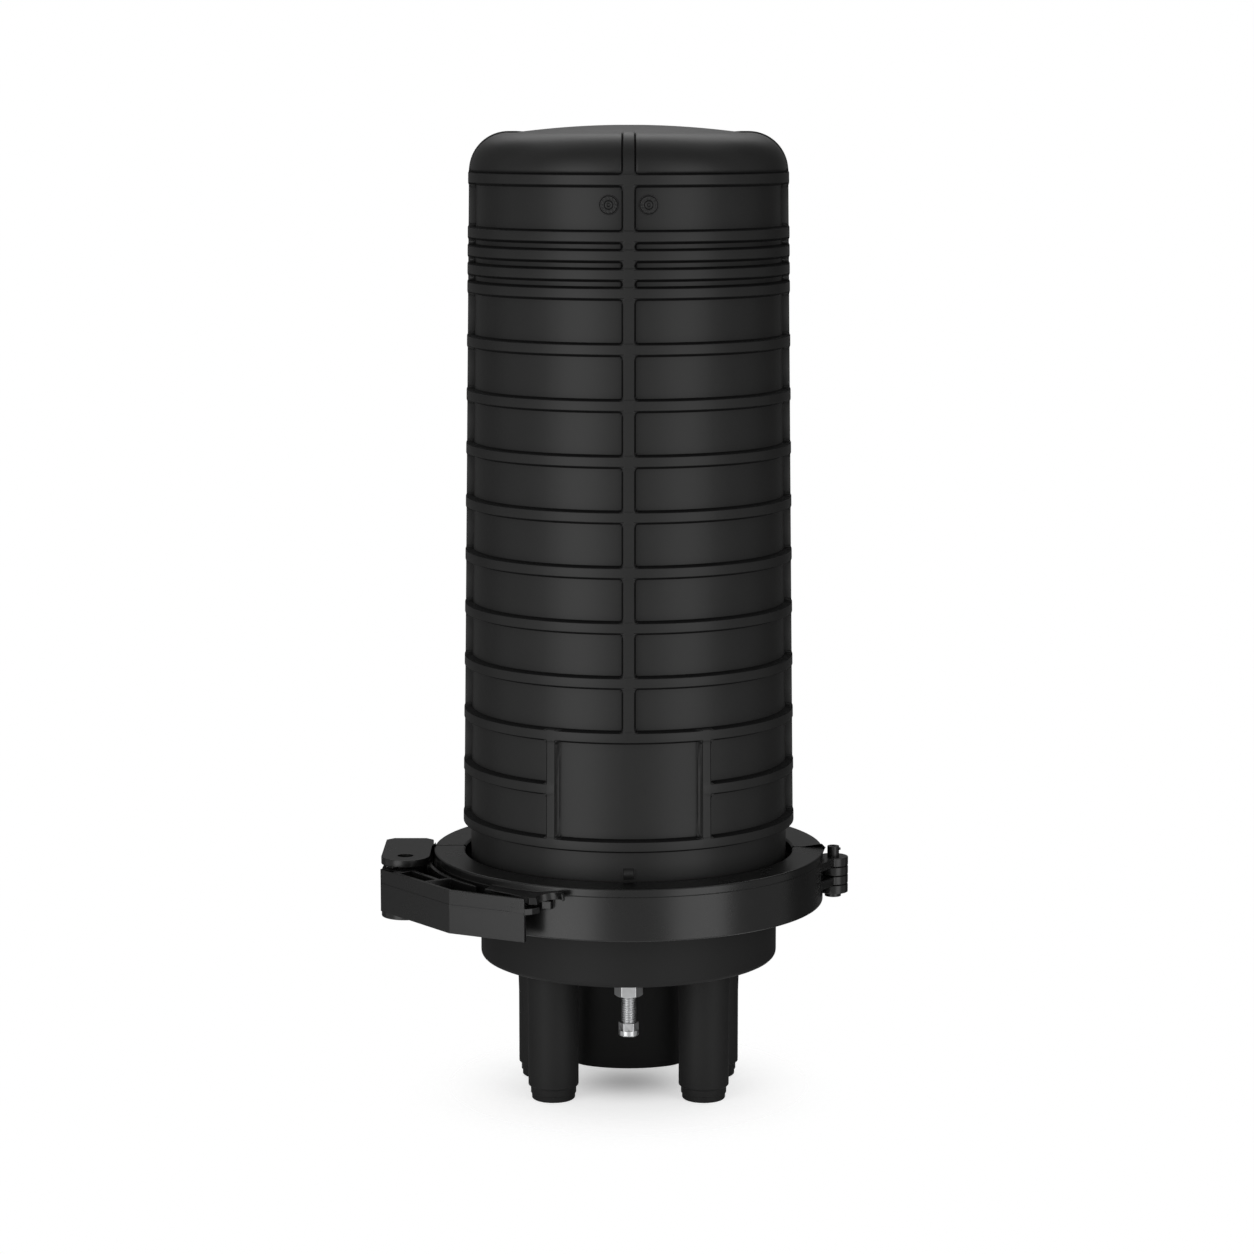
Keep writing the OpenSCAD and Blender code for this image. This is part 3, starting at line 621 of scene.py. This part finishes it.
    def angles(self, r: np.ndarray) -> np.ndarray:
        """Angles of the columns for each row, close together at the upright ribs' side walls.

        Near an upright rib a column keeps its distance from the rib's middle plane, so its angle is
        asin(distance / r). Between the ribs the columns share out what is left, and in the two front
        quadrants they stand close together at the label frame too.

        Args:
            r: radius of each row.

        Returns:
            Angles in radians, of shape (rows, columns), from the front rib anticlockwise.
        """
        wall = np.interp(SIDE_WALL[:, 0], UPRIGHT_DRAFT[:, 1], UPRIGHT_DRAFT[:, 0])
        near = np.concatenate([[0.0, self.crest_column], self.crest_w / 2 + wall])
        edge = np.arcsin(near[None, :] / r[:, None])
        spread = np.linspace(0.0, 1.0, 28)[1:-1]
        last = math.asin(near[-1] / self.top_r)
        gap = QUARTER - 2 * last
        side = (self.label_side - last) / gap
        ribs = near[1:] / self.top_r / gap
        clear = spread[np.abs(spread - side) > ribs[-1]]
        framed = np.sort(np.concatenate([clear, side - ribs, [side], side + ribs]))
        out = []
        for quadrant, share in enumerate([framed, spread, spread, 1 - framed[::-1]]):
            start = quadrant * QUARTER
            first = edge[:, -1:]
            between = first + share[None, :] * (QUARTER - 2 * first)
            out += [start + edge, start + between, start + QUARTER - edge[:, :0:-1]]
        return np.concatenate(out, axis=1) - QUARTER

    def ring_distance(self, r: np.ndarray, z: np.ndarray,
                      front: np.ndarray) -> tuple[np.ndarray, np.ndarray]:
        """Distance to the nearest ring rib's crest edge, less than 0 on the crest.

        The second ring from below stops at the label: over the frame's width its edges draw back by
        label_fade, and inside the frame there is none.

        Args:
            r: radius of each row, of shape (rows, 1).
            z: height of each row, of shape (rows, 1).
            front: angle of each point from the front.

        Returns:
            The distances, and those to the nearest ribs overhead alone.
        """
        bands = self.bands()
        below = self.under * (bands[None, :, 0] - z)
        off = np.maximum(below, z - bands[None, :, 1])
        overhead = below.max(1, initial=-FAR, where=off < BESIDE)[:, None]
        into_label = r * (self.label_side - np.abs(front)) + self.crest_w / 2
        split = off[:, 1, None] + self.label_fade * smoothstep(into_label / self.crest_w)
        split = np.where(into_label > self.crest_w, FAR, split)
        return np.minimum(np.delete(off, 1, axis=1).min(1)[:, None], split), overhead

    def upright_distance(self, r: np.ndarray, z: np.ndarray,
                         front: np.ndarray) -> tuple[np.ndarray, np.ndarray]:
        """Distance to the nearest upright rib's crest edge: r * |sin(angle from it)| - half a crest.

        The front rib ends over the label, where the frame's two sides take its place.

        Args:
            r: radius of each row, of shape (rows, 1).
            z: height of each row, of shape (rows, 1).
            front: angle of each point from the front.

        Returns:
            The distances to the nearest upright rib or frame side, as the table SIDE_WALL takes them,
            and those to the frame's sides alone.
        """
        off_frame = r * np.abs(np.abs(front) - self.label_side) - self.crest_w / 2
        beside_label = (z > self.first_z + 1) & (z < self.label_top + self.rib_w)
        off_frame = np.where(beside_label, off_frame, FAR)
        nearest = off_frame
        for quadrant, low in enumerate([self.label_top] + 3 * [self.first_z]):
            turn = front - quadrant * QUARTER
            off = r * np.abs(np.sin(turn)) - self.crest_w / 2
            nearest = np.minimum(nearest, np.where((np.cos(turn) > 0) & (z > low + 1), off, FAR))
        return np.interp(nearest, UPRIGHT_DRAFT[:, 0], UPRIGHT_DRAFT[:, 1]), off_frame

    def relief(self, r: np.ndarray, z: np.ndarray, angle: np.ndarray) -> tuple[np.ndarray, np.ndarray]:
        """Height of the surface over the panels as a share of the ribs' height, and where it is matt
        and shaded.

        The distances to the nearest ring rib and the nearest upright rib meet in a rounded corner and
        give the drop from the crest by the table SIDE_WALL, with a fine groove at the wall's foot that
        the label frame lacks. An upright rib lies web_drop lower than the ring ribs and rises to meet
        them. On the crown everything runs out into the cap.

        Args:
            r: radius of each row.
            z: height of each row.
            angle: angle of each point, of shape (rows, columns).

        Returns:
            Shares, of shape (rows, columns), and how matt each point is, with painted shade: 1 at the
            ribs' edges and grooves, where shade falls, and 0 elsewhere.
        """
        r, z = r[:, None], z[:, None]
        front = (angle + 3 * QUARTER) % TURN - 2 * QUARTER
        ring, overhead = self.ring_distance(r, z, front)
        upright, off_frame = self.upright_distance(r, z, front)
        near = meet(ring, upright, self.corner)
        at_frame = (off_frame < BESIDE) & (upright < ring) & (ring > 0)
        below_rib = (ring < BESIDE) & (ring <= upright) & (overhead >= ring - 1e-6)
        depth = np.where(z > self.top_rib_z + self.rib_w / 2, self.crown_depth, self.rib_h)
        wall = np.interp(near, SIDE_WALL[:, 0], SIDE_WALL[:, 1])
        line = np.interp(near, SIDE_WALL[:, 0], SIDE_WALL[:, 2]) * self.groove * ~at_frame
        drop = np.maximum(depth * wall, self.web_drop * smoothstep(ring / self.web_rise)) + line
        on_cap = smoothstep((self.cap_r - 0.5 - r) / self.run_out + 1) * (z > self.shoulder_z)
        drop += (self.cap_drop - drop) * on_cap
        # Painted shade: this mask also darkens the colour at the ribs' edges, grooves and under the
        # ribs.
        matt = matt_and_shade_between(near, *MATT_SHADE_AT_RIB)
        matt = np.where(below_rib, matt_and_shade_between(near, *MATT_SHADE_BELOW_RIB), matt)
        matt = np.where(at_frame, matt_and_shade_between(near, *MATT_SHADE_AT_FRAME), matt)
        matt *= (ring < upright) | (near > GLOSSY_UNSHADED_TO) | at_frame
        tab = self.tab(r, z, front)
        return np.maximum(1 - drop / self.rib_h, tab), matt * (tab < 0.01) * (1 - on_cap)

    def tab(self, r: np.ndarray, z: np.ndarray, front: np.ndarray) -> np.ndarray:
        """Height of the alignment tab as a share of the ribs' height: a block with eased edges.

        Args:
            r: radius of each row, of shape (rows, 1).
            z: height of each row, of shape (rows, 1).
            front: angle of each point from the front.

        Returns:
            Shares, of shape (rows, columns).
        """
        beside = np.abs(r * np.sin(front)) - self.tab_w / 2
        off = np.maximum(np.maximum(self.tab_low - z, z - self.tab_high), beside)
        return self.tab_share * (1 - smoothstep(off / self.tab_ease + 0.5)) * (np.cos(front) > 0)

    def inner_rows(self) -> np.ndarray:
        """Section from the skirt's foot round the flange and up the inside to the crown."""
        low, ease = self.floor_z, self.flange_ease
        skirt = self.crest_r(self.first_z) - self.rib_h
        bore = skirt - self.wall
        bore_top = self.crest_r(self.top_rib_z) - self.rib_h - self.wall
        rim = [
            [skirt, low + self.foot_h], [skirt + 0.4, low + self.foot_h - 0.35],
            [self.flange_r - 0.6, low + self.flange_h], [self.flange_r, low + self.flange_h - ease],
            [self.flange_r, low + ease], [self.flange_r - ease, low],
            [bore + ease, low], [bore, low + ease], [bore, self.first_z], [bore_top, self.top_rib_z],
        ]
        d = self.crown_depth + self.wall
        t = np.radians(np.linspace(0, 90, 9))
        arc = np.stack([self.shoulder_centre + (self.shoulder_r - d) * np.cos(t),
                        self.shoulder_z + (self.shoulder_r - d) * np.sin(t)], -1)
        r = np.linspace(self.cap_r, self.middle_r, 8)
        return np.vstack([rim, arc, np.stack([r, self.cap_z(r, d)], -1)])

    def shell(self) -> bpy.types.Object:
        """Builds the whole dome as one closed surface of angle and profile.

        Returns:
            The dome's object.
        """
        points, normals = self.profile()
        inner = self.inner_rows()
        angle = self.angles(points[:, 0])
        share, matt = self.relief(points[:, 0], points[:, 1], angle)
        r = points[:, :1] + self.rib_h * share * normals[:, :1]
        z = points[:, 1:] + self.rib_h * share * normals[:, 1:]
        r = np.vstack([r, np.repeat(inner[:, :1], r.shape[1], axis=1)])
        z = np.vstack([z, np.repeat(inner[:, 1:], z.shape[1], axis=1)])
        angle = np.vstack([angle, self.angles(inner[:, 0])])
        grid = np.stack([r * np.cos(angle), r * np.sin(angle), z], axis=-1)
        return closed_tube("dome_shell", grid, matt)

    def mould_mark(self, name: str, x: float, z: float) -> bpy.types.Object:
        """A plain round mould mark that stands slightly proud of the panel.

        Its height over the panel is a table of its radius: flat rings parted by matt grooves around a
        small dimple, with plain ticks on the widest ring, where TICK_SHARE of each step is raised. The
        grooves are also darkened with painted shade.

        Args:
            name: the piece's name.
            x: sideways place at the front.
            z: height.

        Returns:
            The mark's object.
        """
        edges, level = MARK_SECTION[:, :1], MARK_SECTION[:, 1:]
        phi = np.linspace(0, TURN, 8 * MARK_TICKS, endpoint=False)
        in_tick = np.abs((phi * MARK_TICKS / TURN + 0.5) % 1.0 - 0.5) < TICK_SHARE / 2
        tick = in_tick & (edges > TICK_FROM) & (edges < TICK_TO)
        high = level + TICK_HEIGHT * tick
        v = z + edges * np.sin(phi)
        radius = self.crest_r(v) - self.rib_h + high
        turn = (x + edges * np.cos(phi)) / (self.top_r - self.rib_h)
        grid = np.stack([radius * np.sin(turn), -radius * np.cos(turn), v], axis=-1)
        # Painted shade: the grooves' value darkens their colour as well as making them matt.
        return closed_tube(name, grid, np.where(high < GROOVE_HEIGHT, GROOVE_MATT_SHADE, TICK_MATT * tick))

    def build(self, finishes: Finishes) -> None:
        """Makes the dome and its marks, dresses them and rides them on the closure.

        Args:
            finishes: the materials.
        """
        shell = self.shell()
        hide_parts("dome")
        marks = [self.mould_mark("mould_mark_left", -self.mark_x, self.mark_z),
                 self.mould_mark("mould_mark_right", self.mark_x, self.mark_z)]
        for piece in [shell, *marks]:
            finishes.dress(piece, Slot.DOME)
            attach(piece, "closure")
            log.info("%s: %d faces", piece.name, len(piece.data.polygons))


# ---------------- rounded mouldings

@dataclass
class RoundedMoulding:
    """A CAD node's shape with its edges rounded, as a mould or a press leaves them.

    Attributes:
        node: the CAD node that it stands for.
        slot: its material slot.
        body: the body that it rides on.
        radius: radius of the edges in millimetres.
        least_deg: smallest angle between two faces whose edge is rounded.
        segments: steps round an edge.
        matt: takes the duller finish of the base.
        beside_short: most room beside an edge, as a share of the shortest edge that it meets.
        least_room: an edge with less room than this beside it takes no bevel.
        crisp_deg: level edges sharper than this, such as those of a parting line, are shaded crisply
            where they take no bevel.
        fill: share of the room beside an edge that its bevel may take.
        weld: distance within which the CAD's vertices are joined.
        flat_deg: angle within which the CAD's triangles are joined to one face.
    """

    node: str
    slot: Slot
    body: str
    radius: float = 0.5
    least_deg: float = 32.0
    segments: int = 2
    matt: bool = False
    beside_short: float = 5.0
    least_room: float = 0.0
    crisp_deg: float = 180.0
    fill: float = 0.9
    weld: float = 0.08
    flat_deg: float = 0.3

    def room_beside(self, edge: bmesh.types.BMEdge) -> float:
        """Room beside an edge: its narrower face's area over perimeter, which is half a strip's width.

        Args:
            edge: the edge.

        Returns:
            The room in millimetres, at most beside_short times the shortest edge that it meets.
        """
        width = min(face.calc_area() / face.calc_perimeter() for face in edge.link_faces) / MM
        shortest = min(side.calc_length() for vert in edge.verts for side in vert.link_edges) / MM
        return min(width, self.beside_short * shortest)

    def mark_edges(self, work: bmesh.types.BMesh) -> None:
        """Gives each edge its bevel's width as a weight, and marks the crisp ones as sharp.

        The width of a bevel is the radius, or less where there is no room for it.

        Args:
            work: the mesh.
        """
        weight = work.edges.layers.float.new("bevel_weight_edge")
        for edge in work.edges:
            angle = edge.calc_face_angle(0.0)
            level = abs(edge.verts[0].co.z - edge.verts[1].co.z) < 0.01 * edge.calc_length()
            if angle > math.radians(self.least_deg):
                room = self.room_beside(edge)
                edge[weight] = min(1.0, self.fill * room / self.radius) * (room > self.least_room)
            edge.smooth = not (level and angle > math.radians(self.crisp_deg) and edge[weight] == 0)

    def build(self, finishes: Finishes) -> bpy.types.Object:
        """Copies the node's mesh, joins its triangles to flat faces and rounds the edges.

        The second modifier keeps the large faces flat in shading.

        Args:
            finishes: the materials.

        Returns:
            The new object.
        """
        source = frame["nodes"][self.node]
        mesh = bpy.data.meshes.new(f"{self.node}_moulded")
        work = bmesh.new()
        work.from_mesh(source.data)
        bmesh.ops.remove_doubles(work, verts=work.verts, dist=self.weld * MM)
        bmesh.ops.dissolve_limit(work, angle_limit=math.radians(self.flat_deg), verts=work.verts,
                                 edges=work.edges)
        self.mark_edges(work)
        work.to_mesh(mesh)
        work.free()
        mesh.polygons.foreach_set("use_smooth", np.full(len(mesh.polygons), True))
        piece = bpy.data.objects.new(f"{self.node}_moulded", mesh)
        bpy.context.scene.collection.objects.link(piece)
        bevel = piece.modifiers.new("edges", "BEVEL")
        bevel.width = self.radius * MM
        bevel.segments = self.segments
        bevel.limit_method = "WEIGHT"
        bevel.use_clamp_overlap = False
        flats = piece.modifiers.new("flats", "WEIGHTED_NORMAL")
        flats.keep_sharp = True
        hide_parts(self.node)
        finishes.dress(piece, self.slot)
        if self.matt:
            piece.data.materials[0] = finishes.matt_base
        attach(piece, self.body)
        log.info("%s: %d faces", piece.name, len(mesh.polygons))
        return piece


# ---------------- earth stud

@dataclass
class EarthStud:
    """The threaded earth stud.

    Attributes:
        pitch: thread pitch.
        depth: thread depth.
        steep: how steep the thread's flanks are, in depths for a pitch.
        root: how much of the trough is cut off flat, in depths.
        rows: rows for a pitch.
        columns: columns round the stud.
    """

    pitch: float = 1.25
    depth: float = 0.62
    steep: float = 2.6
    root: float = 0.15
    rows: int = 9
    columns: int = 40

    def build(self, finishes: Finishes) -> None:
        """Makes the stud as a helical surface.

        With phase = height / pitch - angle / turn, the radius drops from the stud's own by
        depth * (1 - wave), where wave = steep * |phase - 0.5| - root, held between 0 and 1.

        Args:
            finishes: the materials.
        """
        low, high = (np.array(c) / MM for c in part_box("earth_stud"))
        radius = (high[0] - low[0]) / 2
        y = (low[1] + high[1]) / 2
        z = np.arange(low[2] + 0.01, high[2], self.pitch / self.rows)[:, None]
        phi = np.linspace(0, TURN, self.columns, endpoint=False)
        phase = (z / self.pitch - phi / TURN) % 1.0
        wave = np.clip(np.abs(phase - 0.5) * self.steep - self.root, 0, 1)
        r = radius - self.depth * (1 - wave)
        grid = np.stack([r * np.cos(phi), y + r * np.sin(phi), np.repeat(z, len(phi), 1)], -1)
        stud = closed_tube("stud_thread", grid[::-1])
        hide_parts("earth_stud")
        finishes.dress(stud, Slot.STEEL)
        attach(stud, "closure")


# ---------------- whole closure

@dataclass
class Closure:
    """All the closure's sub-assemblies.

    Attributes:
        finishes: the materials.
    """

    finishes: Finishes

    def moulded_pieces(self) -> list[RoundedMoulding]:
        """The pieces whose shape is the CAD's, with rounded edges."""
        return [
            RoundedMoulding("base", Slot.DOME, "closure", 0.6, matt=True),
            RoundedMoulding("clamp_rear_half", Slot.CLAMP, "closure", 0.45, crisp_deg=5),
            RoundedMoulding("clamp_front_half", Slot.CLAMP, "front_clamp", 0.45, crisp_deg=5),
            RoundedMoulding("latch_lever", Slot.CLAMP, "lever", 0.35, 18.0, beside_short=0.2,
                            least_room=0.2, crisp_deg=5),
            RoundedMoulding("hinge_pin", Slot.CLAMP, "closure", 0.25),
            RoundedMoulding("earth_nut", Slot.STEEL, "closure", 0.3),
            RoundedMoulding("earth_cap_nut", Slot.STEEL, "closure", 0.3),
            RoundedMoulding("earth_washer", Slot.STEEL, "closure", 0.2),
        ]

    def dress_carried_nodes(self) -> None:
        """Gives every CAD node its slot's material."""
        slots = {part["node"]: part["material_slot"] for part in frame["record"]["subparts"]}
        for name, node in frame["nodes"].items():
            self.finishes.dress(node, Slot(slots[name]))

    def build(self) -> None:
        """Makes and dresses every piece."""
        self.dress_carried_nodes()
        Dome().build(self.finishes)
        for piece in self.moulded_pieces():
            piece.build(self.finishes)
        EarthStud().build(self.finishes)


# ---------------- stage

@dataclass
class Studio:
    """Camera, lights, pale floor and white background.

    Attributes:
        eye: the camera's place in metres.
        tilt_deg: how far the camera looks down.
        lens_mm: focal length on a 36 mm sensor.
        ambient: strength of the ambient light.
        shade_from: distance in metres at which the floor starts to fade into the background.
        shade_to: distance at which it has faded.
        painted_shade_to: distance up to which the floor's camera-only light grows; the floor is darker
            within it, which is painted shade.
        glow_and_painted_shade: the floor's camera-only light in the middle and from painted_shade_to
            on; the lower middle value paints shade under the object.
        floor_half: half the floor's width in millimetres.
        floor_z: the floor's height, just under the object.
        card_r: distance of the side cards from the object's axis in millimetres.
        card_low: height of their lower edges.
        ceiling_r: radius of the ceiling card about the crown.
        crown_z: height of the crown.
    """

    eye: tuple[float, float, float] = (-0.00085, -1.8048, 0.5159)
    tilt_deg: float = 8.426
    lens_mm: float = 98.9
    ambient: float = 0.35
    shade_from: float = 0.03
    shade_to: float = 0.13
    painted_shade_to: float = 0.045
    glow_and_painted_shade: tuple[float, float] = (0.22, 0.6)
    floor_half: float = 900.0
    floor_z: float = -0.15
    card_r: float = 1500.0
    card_low: float = -1400.0
    ceiling_r: float = 1450.0
    crown_z: float = 480.0

    def camera(self) -> None:
        """Places the camera."""
        data = bpy.data.cameras.new("camera")
        data.lens = self.lens_mm
        data.sensor_width = 36.0
        camera = bpy.data.objects.new("camera", data)
        camera.location = self.eye
        camera.rotation_euler = (math.radians(90 - self.tilt_deg), 0.0, 0.0)
        bpy.context.scene.collection.objects.link(camera)
        bpy.context.scene.camera = camera

    def lamp(self, name: str, azimuth_deg: float, distance: float, height: float, aim_z: float,
             size: tuple[float, float], power: float) -> None:
        """Adds a soft rectangular lamp that faces the object's axis.

        Args:
            name: the lamp's name.
            azimuth_deg: angle from the front, positive to the right.
            distance: distance from the axis in metres.
            height: height of the lamp's middle.
            aim_z: height of the point that it faces.
            size: its width and height.
            power: its power in watts.
        """
        data = bpy.data.lights.new(name, "AREA")
        data.shape = "RECTANGLE"
        data.size, data.size_y = size
        data.energy = power
        lamp = bpy.data.objects.new(name, data)
        azimuth = math.radians(azimuth_deg)
        lamp.location = (distance * math.sin(azimuth), -distance * math.cos(azimuth), height)
        lamp.rotation_euler = (math.atan2(distance, height - aim_z), 0.0, azimuth)
        bpy.context.scene.collection.objects.link(lamp)

    def world(self) -> None:
        """White background to camera, glossy and transmission rays, and a dimmer ambient light."""
        world = bpy.data.worlds.new("studio")
        bpy.context.scene.world = world
        world.use_nodes = True
        tree = world.node_tree
        tree.nodes.clear()
        path = add(tree, "ShaderNodeLightPath")
        first = add(tree, "ShaderNodeMath", operation="MAXIMUM")
        seen = add(tree, "ShaderNodeMath", operation="MAXIMUM")
        dim = add(tree, "ShaderNodeBackground", Color=WHITE, Strength=self.ambient)
        white = add(tree, "ShaderNodeBackground", Color=WHITE, Strength=1.0)
        mix = add(tree, "ShaderNodeMixShader")
        out = add(tree, "ShaderNodeOutputWorld")
        join(tree, [
            (path, "Is Camera Ray", first, 0), (path, "Is Glossy Ray", first, 1),
            (first, "Value", seen, 0), (path, "Is Transmission Ray", seen, 1),
            (seen, "Value", mix, "Fac"), (dim, "Background", mix, 1), (white, "Background", mix, 2),
            (mix, "Shader", out, "Surface"),
        ])

    def side_card(self, name: str, start_deg: float, end_deg: float, top: float,
                  level: float) -> None:
        """A card beside the object, part of a cylinder: card_r * (sin a, -cos a), a from the front.

        Args:
            name: the card's name.
            start_deg: angle of its first edge from the front, anticlockwise seen from above.
            end_deg: angle of its last edge.
            top: height of its upper edge in millimetres.
            level: how bright it is, where white is 1.
        """
        angles = np.radians(np.linspace(start_deg, end_deg, 13))
        a, z = np.meshgrid(angles, np.linspace(self.card_low, top, 9), indexing="xy")
        grid = np.stack([self.card_r * np.sin(a), -self.card_r * np.cos(a), z], axis=-1)
        self.card(name, grid, level)

    def ceiling_card(self, name: str, low_deg: float, high_deg: float, level: float) -> None:
        """A card over the object's front, part of a sphere about the crown.

        With azimuth a and elevation e its points are ceiling_r * (sin a, -cos a cos e, cos a sin e).

        Args:
            name: the card's name.
            low_deg: elevation of its lower edge.
            high_deg: elevation of its upper edge, counted on past the zenith.
            level: how bright it is, where white is 1.
        """
        azimuths = np.radians(np.linspace(-80, 80, 13))
        elevations = np.radians(np.linspace(low_deg, high_deg, 9))
        a, e = np.meshgrid(azimuths, elevations, indexing="xy")
        side = self.ceiling_r * np.sin(a)
        reach = self.ceiling_r * np.cos(a)
        grid = np.stack([side, -reach * np.cos(e), self.crown_z + reach * np.sin(e)], axis=-1)
        self.card(name, grid, level)

    def card(self, name: str, grid: np.ndarray, level: float) -> None:
        """A studio card that only reflections see.

        Args:
            name: the card's name.
            grid: its points, of shape (rows, columns, 3).
            level: how bright it is, where white is 1.
        """
        rows, columns = grid.shape[:2]
        card = mesh_from(name, grid.reshape(-1, 3), grid_faces(rows, columns, False))
        material, _, shader = new_material(f"{name}_paper")
        put(shader, Base_Color=(0.0, 0.0, 0.0, 1.0), Specular_IOR_Level=0.0, Emission_Color=WHITE,
            Emission_Strength=level)
        card.data.materials.append(material)
        card.visible_camera = False
        card.visible_diffuse = False
        card.visible_shadow = False
        card.visible_transmission = False

    def floor_material(self) -> bpy.types.Material:
        """Pale paper that glows to the camera alone, less near the middle, which paints shade under
        the object, and fades out away from it.
        """
        material, tree, shader = new_material("floor_pale")
        put(shader, Base_Color=(0.93, 0.93, 0.93, 1.0), Roughness=0.8, Specular_IOR_Level=0.1,
            Emission_Color=WHITE)
        coords = add(tree, "ShaderNodeTexCoord")
        away = add(tree, "ShaderNodeVectorMath", operation="LENGTH")
        fade = add(tree, "ShaderNodeMapRange", interpolation_type="SMOOTHSTEP",
                   From_Min=self.shade_from, From_Max=self.shade_to)
        clear = add(tree, "ShaderNodeBsdfTransparent")
        mix = add(tree, "ShaderNodeMixShader")
        # Painted shade: the camera-only light is weaker near the axis, darkening the floor there
        # beyond its real shadow.
        glow_and_painted_shade = add(tree, "ShaderNodeMapRange", interpolation_type="SMOOTHSTEP",
                   From_Max=self.painted_shade_to, To_Min=self.glow_and_painted_shade[0], To_Max=self.glow_and_painted_shade[1])
        path = add(tree, "ShaderNodeLightPath")
        seen = add(tree, "ShaderNodeMath", operation="MULTIPLY")
        out = next(node for node in tree.nodes if node.type == "OUTPUT_MATERIAL")
        join(tree, [
            (coords, "Object", away, 0), (away, "Value", fade, "Value"),
            (fade, "Result", mix, "Fac"), (away, "Value", glow_and_painted_shade, "Value"), (glow_and_painted_shade, "Result", seen, 0),
            (path, "Is Camera Ray", seen, 1), (seen, "Value", shader, "Emission Strength"),
            (shader, "BSDF", mix, 1), (clear, "BSDF", mix, 2), (mix, "Shader", out, "Surface"),
        ])
        return material

    def floor(self) -> None:
        """Pale floor that fades into the white background away from the object."""
        n = 9
        line = np.linspace(-self.floor_half, self.floor_half, n)
        x, y = np.meshgrid(line, line, indexing="xy")
        points = np.stack([x.ravel(), y.ravel(), np.full(n * n, self.floor_z)], -1)
        floor = mesh_from("floor", points, grid_faces(n, n, False))
        floor.data.materials.append(self.floor_material())

    def build(self) -> None:
        """Sets up camera, background, floor, cards and lamps."""
        bpy.context.scene.view_settings.view_transform = "Standard"
        self.camera()
        self.world()
        self.floor()
        self.side_card("card_front", -14.0, 22.0, 2200.0, 0.65)
        self.side_card("card_right", 58.0, 105.0, 2200.0, 0.4)
        self.side_card("card_right_far", 105.0, 150.0, 2200.0, 0.05)
        self.side_card("card_left", -105.0, -54.0, 2200.0, 0.58)
        self.side_card("card_left_far", -150.0, -105.0, 2200.0, 0.12)
        self.side_card("card_back", 150.0, 210.0, 1100.0, 0.14)
        self.ceiling_card("card_ceiling", 36.0, 84.0, 0.3)
        self.lamp("key", -38.0, 2.3, 0.3, 0.24, (1.6, 2.4), 20.0)
        self.lamp("fill", 43.0, 2.3, 0.3, 0.24, (1.5, 2.4), 14.5)
        self.lamp("top", 180.0, 1.0, 1.8, 0.4, (1.6, 0.8), 6.0)


def main() -> None:
    """Builds the closure and its studio."""
    Studio().build()
    Closure(Finishes()).build()


if __name__ == "__main__":
    main()
